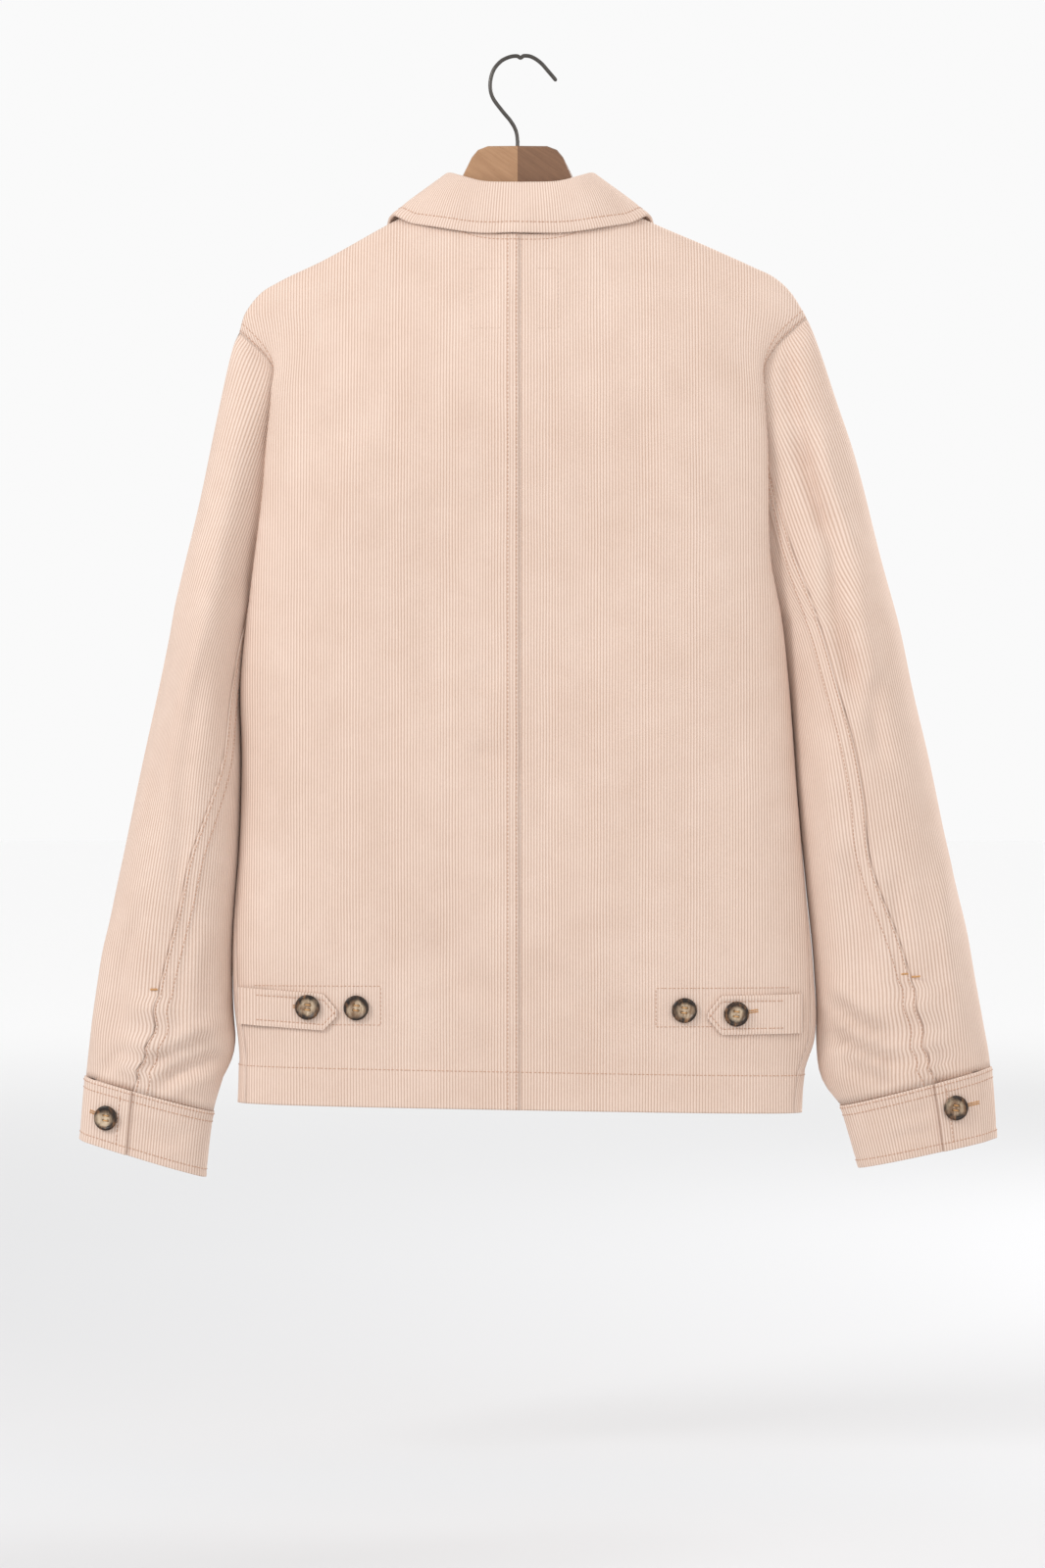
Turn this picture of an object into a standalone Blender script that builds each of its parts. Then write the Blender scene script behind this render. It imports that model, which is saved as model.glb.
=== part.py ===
"""A corduroy work jacket hanging on a wooden hanger.

The hanger's hook rests on the origin, the jacket's back faces +Y, its front faces -Y and its wearer's left is +X.
Every piece of cloth is a closed wall between an outer and an inner grid of points. Sizes are in millimetres until
a mesh is made, in metres.
"""

import math

import bpy
import numpy as np

MM = 0.001

# Cloth and seams
CLOTH = 1.8  # one layer of corduroy
DOUBLE_CLOTH = 2.6  # collar, cuffs and tabs, which are two layers
HEM_CLOTH = 3.2  # the turned hem
CREASE_CLOTH = 1.0  # the wall thins to this in the sharp angle of the armhole seam
SEAM_GAP = 0.3
CREASE_GAP = 2.6  # drawn back along the cloth at the armhole's sharp angle, which leaves 0.3 to 0.5 across
UNDERARM_GAP = 0.3  # added to the crease gap at the lowest point of the armhole
SHOULDER_GAP = 0.5
LAY_GAP = 0.4  # under a piece that lies on another

# Body
HEM = -847.0
HEM_LEAN = 0.018  # rise of the hem for each millimetre towards +X
UNDERARM = -455.0
NECK_HALF = 75.0
BACK_NECK = -147.0
FRONT_NECK = -205.0
FRONT_LAP = 18.0  # how far each front runs past the centre
LAP_MARGIN = 3.0
LAP_END = 60.0  # from here outwards the left front lies level with the right front
SHOULDER_RUN = 230.0  # below the shoulder line, the depth is full from here down
SHOULDER_POWER = 1.3
LOOP_POWER = 2 / 3.0  # a level section is a flattened loop with full sides
LOOP_POINTS = 721
DENT_REACH = 27.0  # the side's dent spans this far to the back and to the front
ARMHOLE_HALF = 14.0  # half the armhole's opening from back to front
ARMHOLE_STEPS = 12
BACK_NOTCH = 5  # the armhole step at which the sleeve's back seam starts
FRONT_NOTCH = 7

DEPTH_COLUMNS = ("height", "back", "front", "dent", "seam")
DEPTH_ROWS = (
    (-860, 40, 43, 0, 18),
    (-800, 42, 45, 0, 18),
    (-740, 45, 48, 0, 17),
    (-650, 48, 50, 1, 12),
    (-550, 50, 50, 4, 6),
    (-455, 50, 48, 10, 0),
    (-400, 50, 47, 16, 0),
    (-340, 50, 46, 21, 0),
    (-260, 50, 44, 19, 0),
    (-236, 50, 44, 7, 0),
    (-210, 50, 44, 0, 0),
)
WIDTH_COLUMNS = ("height", "half_width")
WIDTH_ROWS = {
    "left": (
        (-860, 227.5),
        (-809, 226.5),
        (-763, 231),
        (-713, 231.5),
        (-640, 227.5),
        (-570, 227),
        (-508, 230),
        (-426, 224),
        (-366, 219),
        (-282, 216),
        (-246, 215),
        (-223.6, 230),
    ),
    "right": (
        (-860, 225.5),
        (-815, 228.5),
        (-787, 237),
        (-735, 236),
        (-666, 230),
        (-588, 224.5),
        (-508, 221),
        (-452, 216),
        (-406, 208),
        (-334, 209.5),
        (-282, 209.5),
        (-236, 213),
        (-212.5, 231.5),
    ),
}
SHOULDER_COLUMNS = ("out", "height")
SHOULDER_ROWS = {
    "left": (
        (0, -90),
        (75, -120.5),
        (103.5, -134.3),
        (159, -165),
        (196, -183),
        (210, -192),
        (221, -206),
        (230, -223.6),
    ),
    "right": (
        (0, -90),
        (75, -119.5),
        (103.5, -133.5),
        (149, -153),
        (188, -170.6),
        (205, -179),
        (218, -191),
        (231.5, -212.5),
    ),
}
TOP_PLACES = (0.0, 34.0, 60.0, NECK_HALF, 108.0, 140.0, 167.0, 188.0, 206.0)  # columns of a body panel, along its top
BELOW_UNDERARM = (-847, -818, -816, -788, -758, -715, -665, -610, -555, -505, -475)

# Sleeves
SLEEVE_COLUMNS = ("height", "outer", "inner", "back", "front", "tuck", "lean")
SLEEVE_ROWS = {
    "left": (
        (-890, 354.5, 254.5, 19, 19, 0, 0.31),
        (-836, 350, 247.5, 24, 24, 0, 0.28),
        (-800, 346.5, 236.5, 29, 29, 0, 0.18),
        (-765, 342, 234.5, 33, 33, 0, 0.08),
        (-727, 336.5, 236, 37, 37, 0, 0),
        (-683, 328, 237, 42, 42, 0, 0),
        (-631, 317, 235.5, 46, 46, 0, 0),
        (-570, 304.5, 232.5, 50, 50, 0, 0),
        (-508, 291, 229, 51, 52, 0.25, 0),
        (-460, 281, 221.5, 48, 50, 0.55, 0),
        (-420, 272, 214, 41, 45, 1, 0),
        (-356, 257.5, 205, 31, 35, 1, 0),
        (-303, 247, 203, 23, 26, 1, 0),
        (-254, 237, 205, 13, 15, 1, 0),
        (-238, 233.5, 208, 9, 9, 1, 0),
        (-223.6, 230, 230, 0, 0, 1, 0),
    ),
    "right": (
        (-886, 383, 273.5, 19, 19, 0, 0.22),
        (-830, 378.5, 258, 25, 25, 0, 0.26),
        (-787, 373, 241, 30, 30, 0, 0.1),
        (-742, 366, 240, 34, 34, 0, 0),
        (-705, 359.5, 237.5, 37, 37, 0, 0),
        (-666, 350, 233.5, 41, 41, 0, 0),
        (-630, 342, 230.5, 44, 44, 0, 0),
        (-567, 329, 227, 47, 47, 0, 0),
        (-512, 316, 221.5, 48, 49, 0.25, 0),
        (-460, 305, 210, 45, 47, 0.55, 0),
        (-410, 291.5, 200, 38, 41, 1, 0),
        (-319, 268.2, 196, 26, 29, 1, 0),
        (-278, 254.4, 196, 20, 22, 1, 0),
        (-240, 242, 203, 12, 13, 1, 0),
        (-226, 237, 210, 8, 8, 1, 0),
        (-212.5, 231.5, 231.5, 0, 0, 1, 0),
    ),
}
SEAM_COLUMNS = ("height", "back", "front")
SEAM_ROWS = {
    "left": (
        (-890, 0.42, 0.55),
        (-836, 0.43, 0.55),
        (-765, 0.475, 0.56),
        (-685, 0.55, 0.57),
        (-645, 0.575, 0.58),
        (-614, 0.633, 0.59),
        (-570, 0.73, 0.62),
        (-524, 0.78, 0.66),
        (-455, 0.84, 0.76),
        (-369, 0.95, 1),
        (-309, 1, 1),
    ),
    "right": (
        (-886, 0.455, 0.55),
        (-830, 0.42, 0.55),
        (-764, 0.435, 0.56),
        (-714, 0.475, 0.57),
        (-647, 0.545, 0.58),
        (-600, 0.535, 0.59),
        (-550, 0.55, 0.62),
        (-503, 0.59, 0.66),
        (-444, 0.63, 0.76),
        (-405, 0.67, 0.88),
        (-365, 0.75, 1),
        (-303, 1, 1),
    ),
}
UNDERARM_RISE = 6.0  # below the underarm, the sleeve stands off the body from here down
FAN_END = -475.0  # the first level ring of a sleeve, below the underarm
FAN_SHARES = (0.0, 0.1, 0.22, 0.36, 0.52, 0.68, 0.84, 1.0)
FAN_TIGHT = 4  # the rings nearest the armhole, where the sleeve's own seams are in the crease too
CUFF_TOP = {"left": -836.0, "right": -830.0}
CUFF_END = {"left": -888.0, "right": -884.0}
CUFF_PROUD = 0.8
CUFF_LAP = 32.0
CUFF_RINGS = 4
CUFF_ROUND = 41
SLEEVE_RINGS = (-505, -540, -575, -610, -645, -680, -715, -750, -785, -812)

# Collar: rows from the centre back round the side of the neck to the front end
COLLAR_COLUMNS = ("turn", "fold_out", "fold_y", "fold_height", "edge_out", "edge_y", "edge_height")
COLLAR_ROWS = (
    (0.0, 0, 16, -101.8, 0, 31, -146),
    (0.16, 30, 15, -101, 36, 30.5, -144.2),
    (0.3, 49, 9, -96, 68, 26, -138.5),
    (0.4, 58, 1, -93.6, 92, 16, -133),
    (0.48, 60, -8, -97, 103.5, 4, -128.6),
    (0.56, 59, -16, -106, 108, -12, -136),
    (0.68, 52, -27, -130, 108, -26, -158),
    (0.84, 33, -37, -168, 95, -37, -192),
    (1.0, 10, -41, -203, 70, -43.5, -224),
)

COLLAR_STEPS = 15
NECK_TURN = 0.4  # the collar's turn at which it passes the corner of the neck
COLLAR_ROLL = 3.2  # the radius of the fold
COLLAR_SWELL = 2.0
COLLAR_SHARES = (0.0, 0.3, 0.65, 1.0)
STAND_LIFT = 1.3  # between the neck's edge and the stand's foot
STAND_ENDS = 2  # the last columns of the collar have no stand
STAND_SHORT = 4.0  # the stand's ends stop this far short of the front's columns
STAND_CLOTH = 1.8
STAND_SHARES = (0.0, 0.35, 0.7, 1.0)

# Waist tabs: strips on the back that start in the side seam
TAB_TAPER = 11.0
TAB_FLAT_END = 192.0  # outside this the back rounds away, and the tab bridges its curve
TAB_ROOT_LIFT = 1.0
TAB_TIP_HALF = 1.5
TAB_COLUMNS = ("root_x", "root_height", "tip_x", "tip_height", "half")
TAB_ROWS = {"left": (224, -764, 146, -769.5, 14.6), "right": (-224, -770.5, -149, -771.5, 15.6)}

# Buttons
BUTTON_RADIUS = 10.0
BUTTON_SIDES = 16
BUTTON_SEAT = 0.5  # the base's edge stands this far off a curved surface
BUTTON_PROFILE = ((0.0, 0.0), (0.82, 0.0), (1.0, 0.9), (1.0, 2.3), (0.84, 3.2), (0.68, 2.3), (0.0, 2.1))
BACK_BUTTONS = {
    "button_tab_left": (169.4, -764.8),
    "button_waist_left": (130.7, -765.2),
    "button_waist_right": (-130.4, -767.2),
    "button_tab_right": (-171.7, -770.2),
}
CUFF_BUTTONS = {"left": (331.5, -854.6), "right": (-348.0, -846.2)}
FRONT_BUTTON_TOP = -232.0
FRONT_BUTTON_STEP = 113.0
FRONT_BUTTONS = 6

# Hanger
HANGER_HALF_THICK = 7.0
HANGER_BLOCK = (  # out, top, height of the wood, height of its rounded edge, half its thickness
    (0, -72.7, 46, 2.5, 7),
    (24, -72.9, 46, 2.5, 7),
    (32, -76, 44, 2.5, 7),
    (37, -82, 41, 2.5, 7),
    (44, -96, 36, 5, 6.5),
    (52, -116, 28, 9, 4.5),
    (66, -128, 24, 9, 2.6),
)
ARM_START = 80.0
ARM_EDGE = 9.0
ARM_GAP = 0.6  # between the arm and the inside of the cloth
HANGER_TIP = 206.0
HANGER_STEPS = 10
ARM_TALL = 30.0
HANGER_END = 20.0
HANGER_SIDES = 12
HOOK_RINGS = 34
HOOK_WIRE = 1.6
HOOK_STEM = 2.4
HOOK_SIDES = 8
HOOK_POINTS = (
    (2.4, -70.6),
    (2.4, -66),
    (3.8, -58.5),
    (8, -51),
    (15, -42.5),
    (22.4, -32),
    (24.4, -21.3),
    (22, -10.5),
    (16, -3.0),
    (9, 0.6),
    (3, 1.4),
    (0, 0),
    (-3, 1.6),
    (-9, 0.7),
    (-16, -3.8),
    (-22.5, -11),
    (-29, -18.7),
)

COLOURS = {
    "corduroy": ((0.82, 0.64, 0.53), 0.9, 0.0),
    "button_horn": ((0.12, 0.08, 0.06), 0.35, 0.0),
    "wood": ((0.36, 0.22, 0.13), 0.5, 0.0),
    "wire": ((0.08, 0.075, 0.07), 0.4, 0.9),
}
SIGN = {"left": 1.0, "right": -1.0}


def clear_scene():
    for thing in list(bpy.data.objects):
        bpy.data.objects.remove(thing)


def material(name):
    """The named finish as a Principled material, made once."""
    if name in bpy.data.materials:
        return bpy.data.materials[name]
    colour, roughness, metallic = COLOURS[name]
    made = bpy.data.materials.new(name)
    made.use_nodes = True
    shader = made.node_tree.nodes["Principled BSDF"]
    shader.inputs["Base Color"].default_value = (*colour, 1.0)
    shader.inputs["Roughness"].default_value = roughness
    shader.inputs["Metallic"].default_value = metallic
    return made


def smooth_row(at, knots, values):
    """A cubic curve through the rows of a table, whose slope at a row is the mean of the chords beside it."""
    knots = np.asarray(knots, float)
    values = np.asarray(values, float)
    at = np.clip(at, knots[0], knots[-1])
    chord = np.diff(values) / np.diff(knots)
    slope = np.concatenate((chord[:1], (chord[1:] + chord[:-1]) / 2, chord[-1:]))
    i = np.clip(np.searchsorted(knots, at) - 1, 0, len(knots) - 2)
    span = knots[i + 1] - knots[i]
    t = (at - knots[i]) / span
    start = values[i] * (1 + 2 * t) * (1 - t) ** 2 + span * slope[i] * t * (1 - t) ** 2
    end = values[i + 1] * t**2 * (3 - 2 * t) + span * slope[i + 1] * t**2 * (t - 1)
    return start + end


def read(columns, rows, name, at):
    """The named column of a table, read at a value of its first column."""
    table = np.array(rows, float)
    return smooth_row(at, table[:, 0], table[:, columns.index(name)])


def ease(t):
    """0 below 0, 1 above 1, and a smooth step between."""
    t = np.clip(t, 0, 1)
    return t * t * (3 - 2 * t)


def shoulder_height(side, out):
    return read(SHOULDER_COLUMNS, SHOULDER_ROWS[side], "height", np.abs(out))


def shoulder_tip(side):
    return SHOULDER_ROWS[side][-1]


def pinch(side, out, height):
    """The share of the full depth: none on the shoulder line, and all of it SHOULDER_RUN below."""
    below = np.clip((shoulder_height(side, out) - height) / SHOULDER_RUN, 0, 1)
    return np.sqrt(1 - (1 - below) ** SHOULDER_POWER)


def dent(height, y):
    """How far the side is drawn in at the sleeve, between the back fold and the front fold."""
    near = np.clip(1 - (y / DENT_REACH) ** 2, 0, 1) ** 2
    return read(DEPTH_COLUMNS, DEPTH_ROWS, "dent", height) * near


def level_loop(side, level):
    """Half a level section, from the centre back round the side to the centre front: arc length, out and y.

    The arc is measured on the section as the shoulder narrows it, and y is the full depth, before that narrowing.
    """
    turn = np.linspace(0, math.pi, LOOP_POINTS)
    half_width = read(WIDTH_COLUMNS, WIDTH_ROWS[side], "half_width", level)
    back = read(DEPTH_COLUMNS, DEPTH_ROWS, "back", level)
    front = read(DEPTH_COLUMNS, DEPTH_ROWS, "front", level)
    out = half_width * np.abs(np.sin(turn)) ** LOOP_POWER
    depth = np.where(turn < math.pi / 2, back, -front)
    y = depth * np.abs(np.cos(turn)) ** LOOP_POWER
    step = np.hypot(np.diff(out), np.diff(y * pinch(side, out, level)))
    return np.concatenate(([0], np.cumsum(step))), out, y


def on_level(side, level, arc, height):
    """Points of the body at arc lengths along a level's loop, at heights that may rise from the level to the shoulder."""
    along, out, y = level_loop(side, level)
    mirrored = np.where(arc > along[-1], 2 * along[-1] - arc, np.abs(arc))
    x = np.interp(mirrored, along, out) * np.where((arc < 0) | (arc > along[-1]), -1, 1)
    depth = np.interp(mirrored, along, y) * pinch(side, x, height)
    x = x - np.sign(x) * dent(height, depth)
    lean = HEM_LEAN * SIGN[side] * x * ease((UNDERARM - level) / (UNDERARM - HEM))
    return np.stack([SIGN[side] * x, depth, height + lean], -1)


def armhole_half(side, level):
    """Half the armhole's opening, an ellipse from the shoulder tip to the underarm."""
    tip = shoulder_tip(side)[1]
    middle, half = (tip + UNDERARM) / 2, (tip - UNDERARM) / 2
    return ARMHOLE_HALF * np.sqrt(np.clip(1 - ((level - middle) / half) ** 2, 0, 1))


def border_arc(side, level, face):
    """The arc length at which a back panel ends, or a front panel starts, at this level."""
    along, out, y = level_loop(side, level)
    y = y * pinch(side, out, level)
    if level > UNDERARM:
        target = face * armhole_half(side, level)
    else:
        target = read(DEPTH_COLUMNS, DEPTH_ROWS, "seam", level)
    return np.interp(-target, -y, along)


def armhole_levels(side):
    """Levels from the shoulder tip to the underarm, close together at both ends."""
    share = (1 - np.cos(np.pi * np.arange(ARMHOLE_STEPS + 1) / ARMHOLE_STEPS)) / 2
    tip = shoulder_tip(side)[1]
    return tip + (UNDERARM - tip) * share


def neck_height(side, face, out):
    """The top edge of a panel: the neckline inside the neck, and the shoulder line outside it."""
    share = np.clip(np.abs(out) / NECK_HALF, 0, 1)
    corner = shoulder_height(side, NECK_HALF)
    if face > 0:
        neckline = BACK_NECK + (corner - BACK_NECK) * share**3
    else:
        neckline = FRONT_NECK + (corner - FRONT_NECK) * (1 - np.sqrt(1 - share**2))
    return np.where(np.abs(out) < NECK_HALF, neckline, shoulder_height(side, out))


def body_panel(side, face):
    """The outer grid of a back or front panel: rows from hem to shoulder, columns from the centre to the side."""
    tip_out, tip_height = shoulder_tip(side)
    levels = np.concatenate((BELOW_UNDERARM, armhole_levels(side)[::-1]))
    along, out, y = level_loop(side, tip_height)
    half = (y >= 0) if face > 0 else (y <= 0)
    places = np.array((*TOP_PLACES, tip_out))
    if face > 0:
        arcs = np.interp(places, out[half], along[half])
        shares = arcs / arcs[-1]
    else:
        places = np.array((-FRONT_LAP, 0, FRONT_LAP + LAP_MARGIN, *TOP_PLACES[2:], tip_out))
        centre = along[-1]
        from_centre = np.interp(np.abs(places), out[half][::-1], centre - along[half][::-1])
        from_centre = from_centre * np.sign(places + 1e-9)
        shares = (from_centre + FRONT_LAP) / (from_centre[-1] + FRONT_LAP)
    rise = neck_height(side, face, places) - tip_height
    grid = []
    for level in levels:
        lift = np.clip((level - UNDERARM) / (tip_height - UNDERARM), 0, 1) ** 1.5
        along = level_loop(side, level)[0]
        full = along[LOOP_POINTS // 2]
        start = 0 if face > 0 else along[-1] + FRONT_LAP
        # The columns share out the half section, and only the outer ones give way to the armhole.
        arc = start + (full - start) * shares + (border_arc(side, level, face) - full) * shares**2
        grid.append(on_level(side, level, arc, level + rise * lift))
    return np.array(grid)


def normals(grid, outward):
    """Unit normals of a grid, all turned to the side of the direction that outward gives."""
    along = np.gradient(grid, axis=0)
    across = np.gradient(grid, axis=1)
    normal = np.cross(along, across)
    normal /= np.linalg.norm(normal, axis=2, keepdims=True)
    middle = (grid.shape[0] // 2, grid.shape[1] // 2)
    return normal * np.sign(normal[middle] @ np.asarray(outward, float))


def unit(vector):
    return vector / np.linalg.norm(vector, axis=-1, keepdims=True)


def inner_grid(grid, own, shared, thick):
    """The wall's inner points: moved in along the shared normals, further where they lean from the panel's own."""
    lean = np.clip((own * shared).sum(2), 0.8, 1)
    return grid - shared * (np.asarray(thick) / lean)[..., None]


def pull_back(outer, inner, edge, gap):
    """Moves one border of a wall back from its seam by half the gap. The edge is (axis, index of the border)."""
    axis, index = edge
    near = 1 if index == 0 else -2
    rows = np.moveaxis(outer, axis, 0)
    step = unit(rows[near] - rows[index]) * gap / 2
    rows[index] += step
    np.moveaxis(inner, axis, 0)[index] += step


def add_object(name, points, faces, finish, smooth=True):
    mesh = bpy.data.meshes.new(name)
    mesh.from_pydata((np.asarray(points) * MM).tolist(), [], faces)
    mesh.materials.append(material(finish))
    if smooth:
        mesh.shade_smooth()
        mesh.set_sharp_from_angle(angle=math.radians(40))
    made = bpy.data.objects.new(name, mesh)
    bpy.context.scene.collection.objects.link(made)
    return made


def grid_faces(rows, columns, first=0, flip=False):
    """Quads of a grid whose points run row by row."""
    faces = []
    for i in range(rows - 1):
        for j in range(columns - 1):
            a = first + i * columns + j
            quad = (a, a + 1, a + columns + 1, a + columns)
            faces.append(quad[::-1] if flip else quad)
    return faces


def signed_volume(points, faces):
    total = 0.0
    for face in faces:
        for k in range(1, len(face) - 1):
            total += np.dot(points[face[0]], np.cross(points[face[k]], points[face[k + 1]]))
    return total / 6


def add_wall(name, outer, inner, finish="corduroy"):
    """A closed wall between two grids, with a rim round its edge."""
    rows, columns = outer.shape[:2]
    points = np.concatenate((outer.reshape(-1, 3), inner.reshape(-1, 3)))
    count = rows * columns
    faces = grid_faces(rows, columns) + grid_faces(rows, columns, count, True)
    rim = [j for j in range(columns)]
    rim += [i * columns + columns - 1 for i in range(1, rows)]
    rim += [(rows - 1) * columns + j for j in range(columns - 2, -1, -1)]
    rim += [i * columns for i in range(rows - 2, 0, -1)]
    for a, b in zip(rim, rim[1:] + rim[:1]):
        faces.append((b, a, a + count, b + count))
    if signed_volume(points, faces) < 0:
        faces = [face[::-1] for face in faces]
    return add_object(name, points, faces, finish)


def armhole_curve(side, face):
    """Dense points of the armhole on the back or the front: level, out and y."""
    tip = shoulder_tip(side)[1]
    levels = np.linspace(tip, UNDERARM, 121)
    points = [on_level(side, h, np.array([border_arc(side, h, face)]), np.array([h]))[0] for h in levels]
    return levels, np.abs(np.array(points)[:, 0]), np.array(points)[:, 1]


ARMHOLES = {}


def armhole_at(side, face, height):
    """(out, y) of the armhole at a height: the sleeve's inner edge above the underarm."""
    if (side, face) not in ARMHOLES:
        ARMHOLES[side, face] = armhole_curve(side, face)
    levels, out, y = ARMHOLES[side, face]
    return np.interp(-height, -levels, out), np.interp(-height, -levels, y)


def sleeve_point(side, share, height):
    """Points of a sleeve. share runs from 0 on the outer edge to 1 on the inner edge, over the back, or -1 over the front."""
    rows = SLEEVE_ROWS[side]
    face = np.where(share >= 0, 1, -1)
    outer = read(SLEEVE_COLUMNS, rows, "outer", height)
    above = height > UNDERARM
    back_out, back_y = armhole_at(side, 1, height)
    front_out, front_y = armhole_at(side, -1, height)
    seam_out = np.where(face > 0, back_out, front_out)
    seam_y = np.where(above, np.where(face > 0, back_y, -front_y), 0)
    below_inner = read(SLEEVE_COLUMNS, rows, "inner", height)
    blend = ease((UNDERARM - height) / UNDERARM_RISE)
    inner = np.where(above, seam_out, seam_out * (1 - blend) + below_inner * blend)
    turn = np.pi * np.abs(share)
    middle, half = (outer + inner) / 2, (outer - inner) / 2
    x = middle + half * np.cos(turn)
    depth = np.where(
        face > 0,
        read(SLEEVE_COLUMNS, rows, "back", height),
        read(SLEEVE_COLUMNS, rows, "front", height),
    )
    tucked = ease((np.abs(share) - 0.45) / 0.55)
    full = depth * np.sin(turn) * (1 - read(SLEEVE_COLUMNS, rows, "tuck", height) * tucked)
    y = face * (full + seam_y * tucked)
    z = height + read(SLEEVE_COLUMNS, rows, "lean", height) * (x - middle)
    return np.stack([SIGN[side] * x, y, z], -1)


def half_round(side, face, height):
    """The arc length of a sleeve from its outer to its inner edge, over one face."""
    shares = np.linspace(0, 1, 41)
    height = np.atleast_1d(height)
    grid = sleeve_point(side, face * shares[None, :] + face * 1e-9, np.repeat(height[:, None], 41, 1))
    return np.linalg.norm(np.diff(grid, axis=1), axis=2).sum(1)


def seam_share(side, face, height):
    name = "back" if face > 0 else "front"
    return np.minimum(read(SEAM_COLUMNS, SEAM_ROWS[side], name, height), 1)


def sleeve_columns(side, face, part):
    """(armhole level, share of the way across) of one face of a sleeve piece, from the notch outwards or inwards."""
    notch = BACK_NOTCH if face > 0 else FRONT_NOTCH
    levels = armhole_levels(side)
    levels = levels[: notch + 1] if part == "top" else levels[notch:]
    arc = half_round(side, face, levels)
    return levels, (arc - arc[0]) / (arc[-1] - arc[0])


def sleeve_face(side, face, part):
    """The grid of one face of a sleeve piece: rows from the armhole to the cuff, columns from the outer edge inwards."""
    levels, across = sleeve_columns(side, face, part)
    notch_level = levels[-1] if part == "top" else levels[0]
    start_arc = half_round(side, face, levels)
    end_round = half_round(side, face, FAN_END)[0]
    end_seam = seam_share(side, face, FAN_END)
    notch_arc = half_round(side, face, notch_level)[0]

    def shares_at(height):
        """Each column's share at a level ring."""
        seam = seam_share(side, face, height)
        if part == "top":
            return seam * across
        return seam + (1 - seam) * across

    grid = []
    for v in FAN_SHARES:
        height = levels + (FAN_END - levels) * v
        arc = start_arc + (shares_at(FAN_END) * end_round - start_arc) * v
        on_way = np.clip((height - notch_level) / (FAN_END - notch_level), 0, 1)
        straight = notch_arc + (end_seam * end_round - notch_arc) * on_way
        round_here = half_round(side, face, height)
        wanted = seam_share(side, face, np.minimum(height, notch_level)) * round_here
        weight = across**2 if part == "top" else 1 - across
        arc = arc + np.where(on_way > 0, (wanted - straight) * weight, 0)
        share = np.clip(arc / np.maximum(round_here, 1e-6), 0, 1)
        share = np.where(start_arc < 1e-6, 0, share)
        if v == 0:
            share = np.ones_like(share)
        grid.append(sleeve_point(side, face * share + face * 1e-9, height))
    for level in (*SLEEVE_RINGS, CUFF_TOP[side]):
        share = shares_at(level)
        grid.append(sleeve_point(side, face * share + face * 1e-9, np.full_like(share, level)))
    return np.array(grid)


def sleeve_piece(side, part):
    """The whole grid of a top or under sleeve, from its front seam to its back seam."""
    back, front = sleeve_face(side, 1, part), sleeve_face(side, -1, part)
    if part == "top":
        return np.concatenate((front[:, ::-1], back[:, 1:]), axis=1)
    return np.concatenate((front, back[:, -2::-1]), axis=1)


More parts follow.
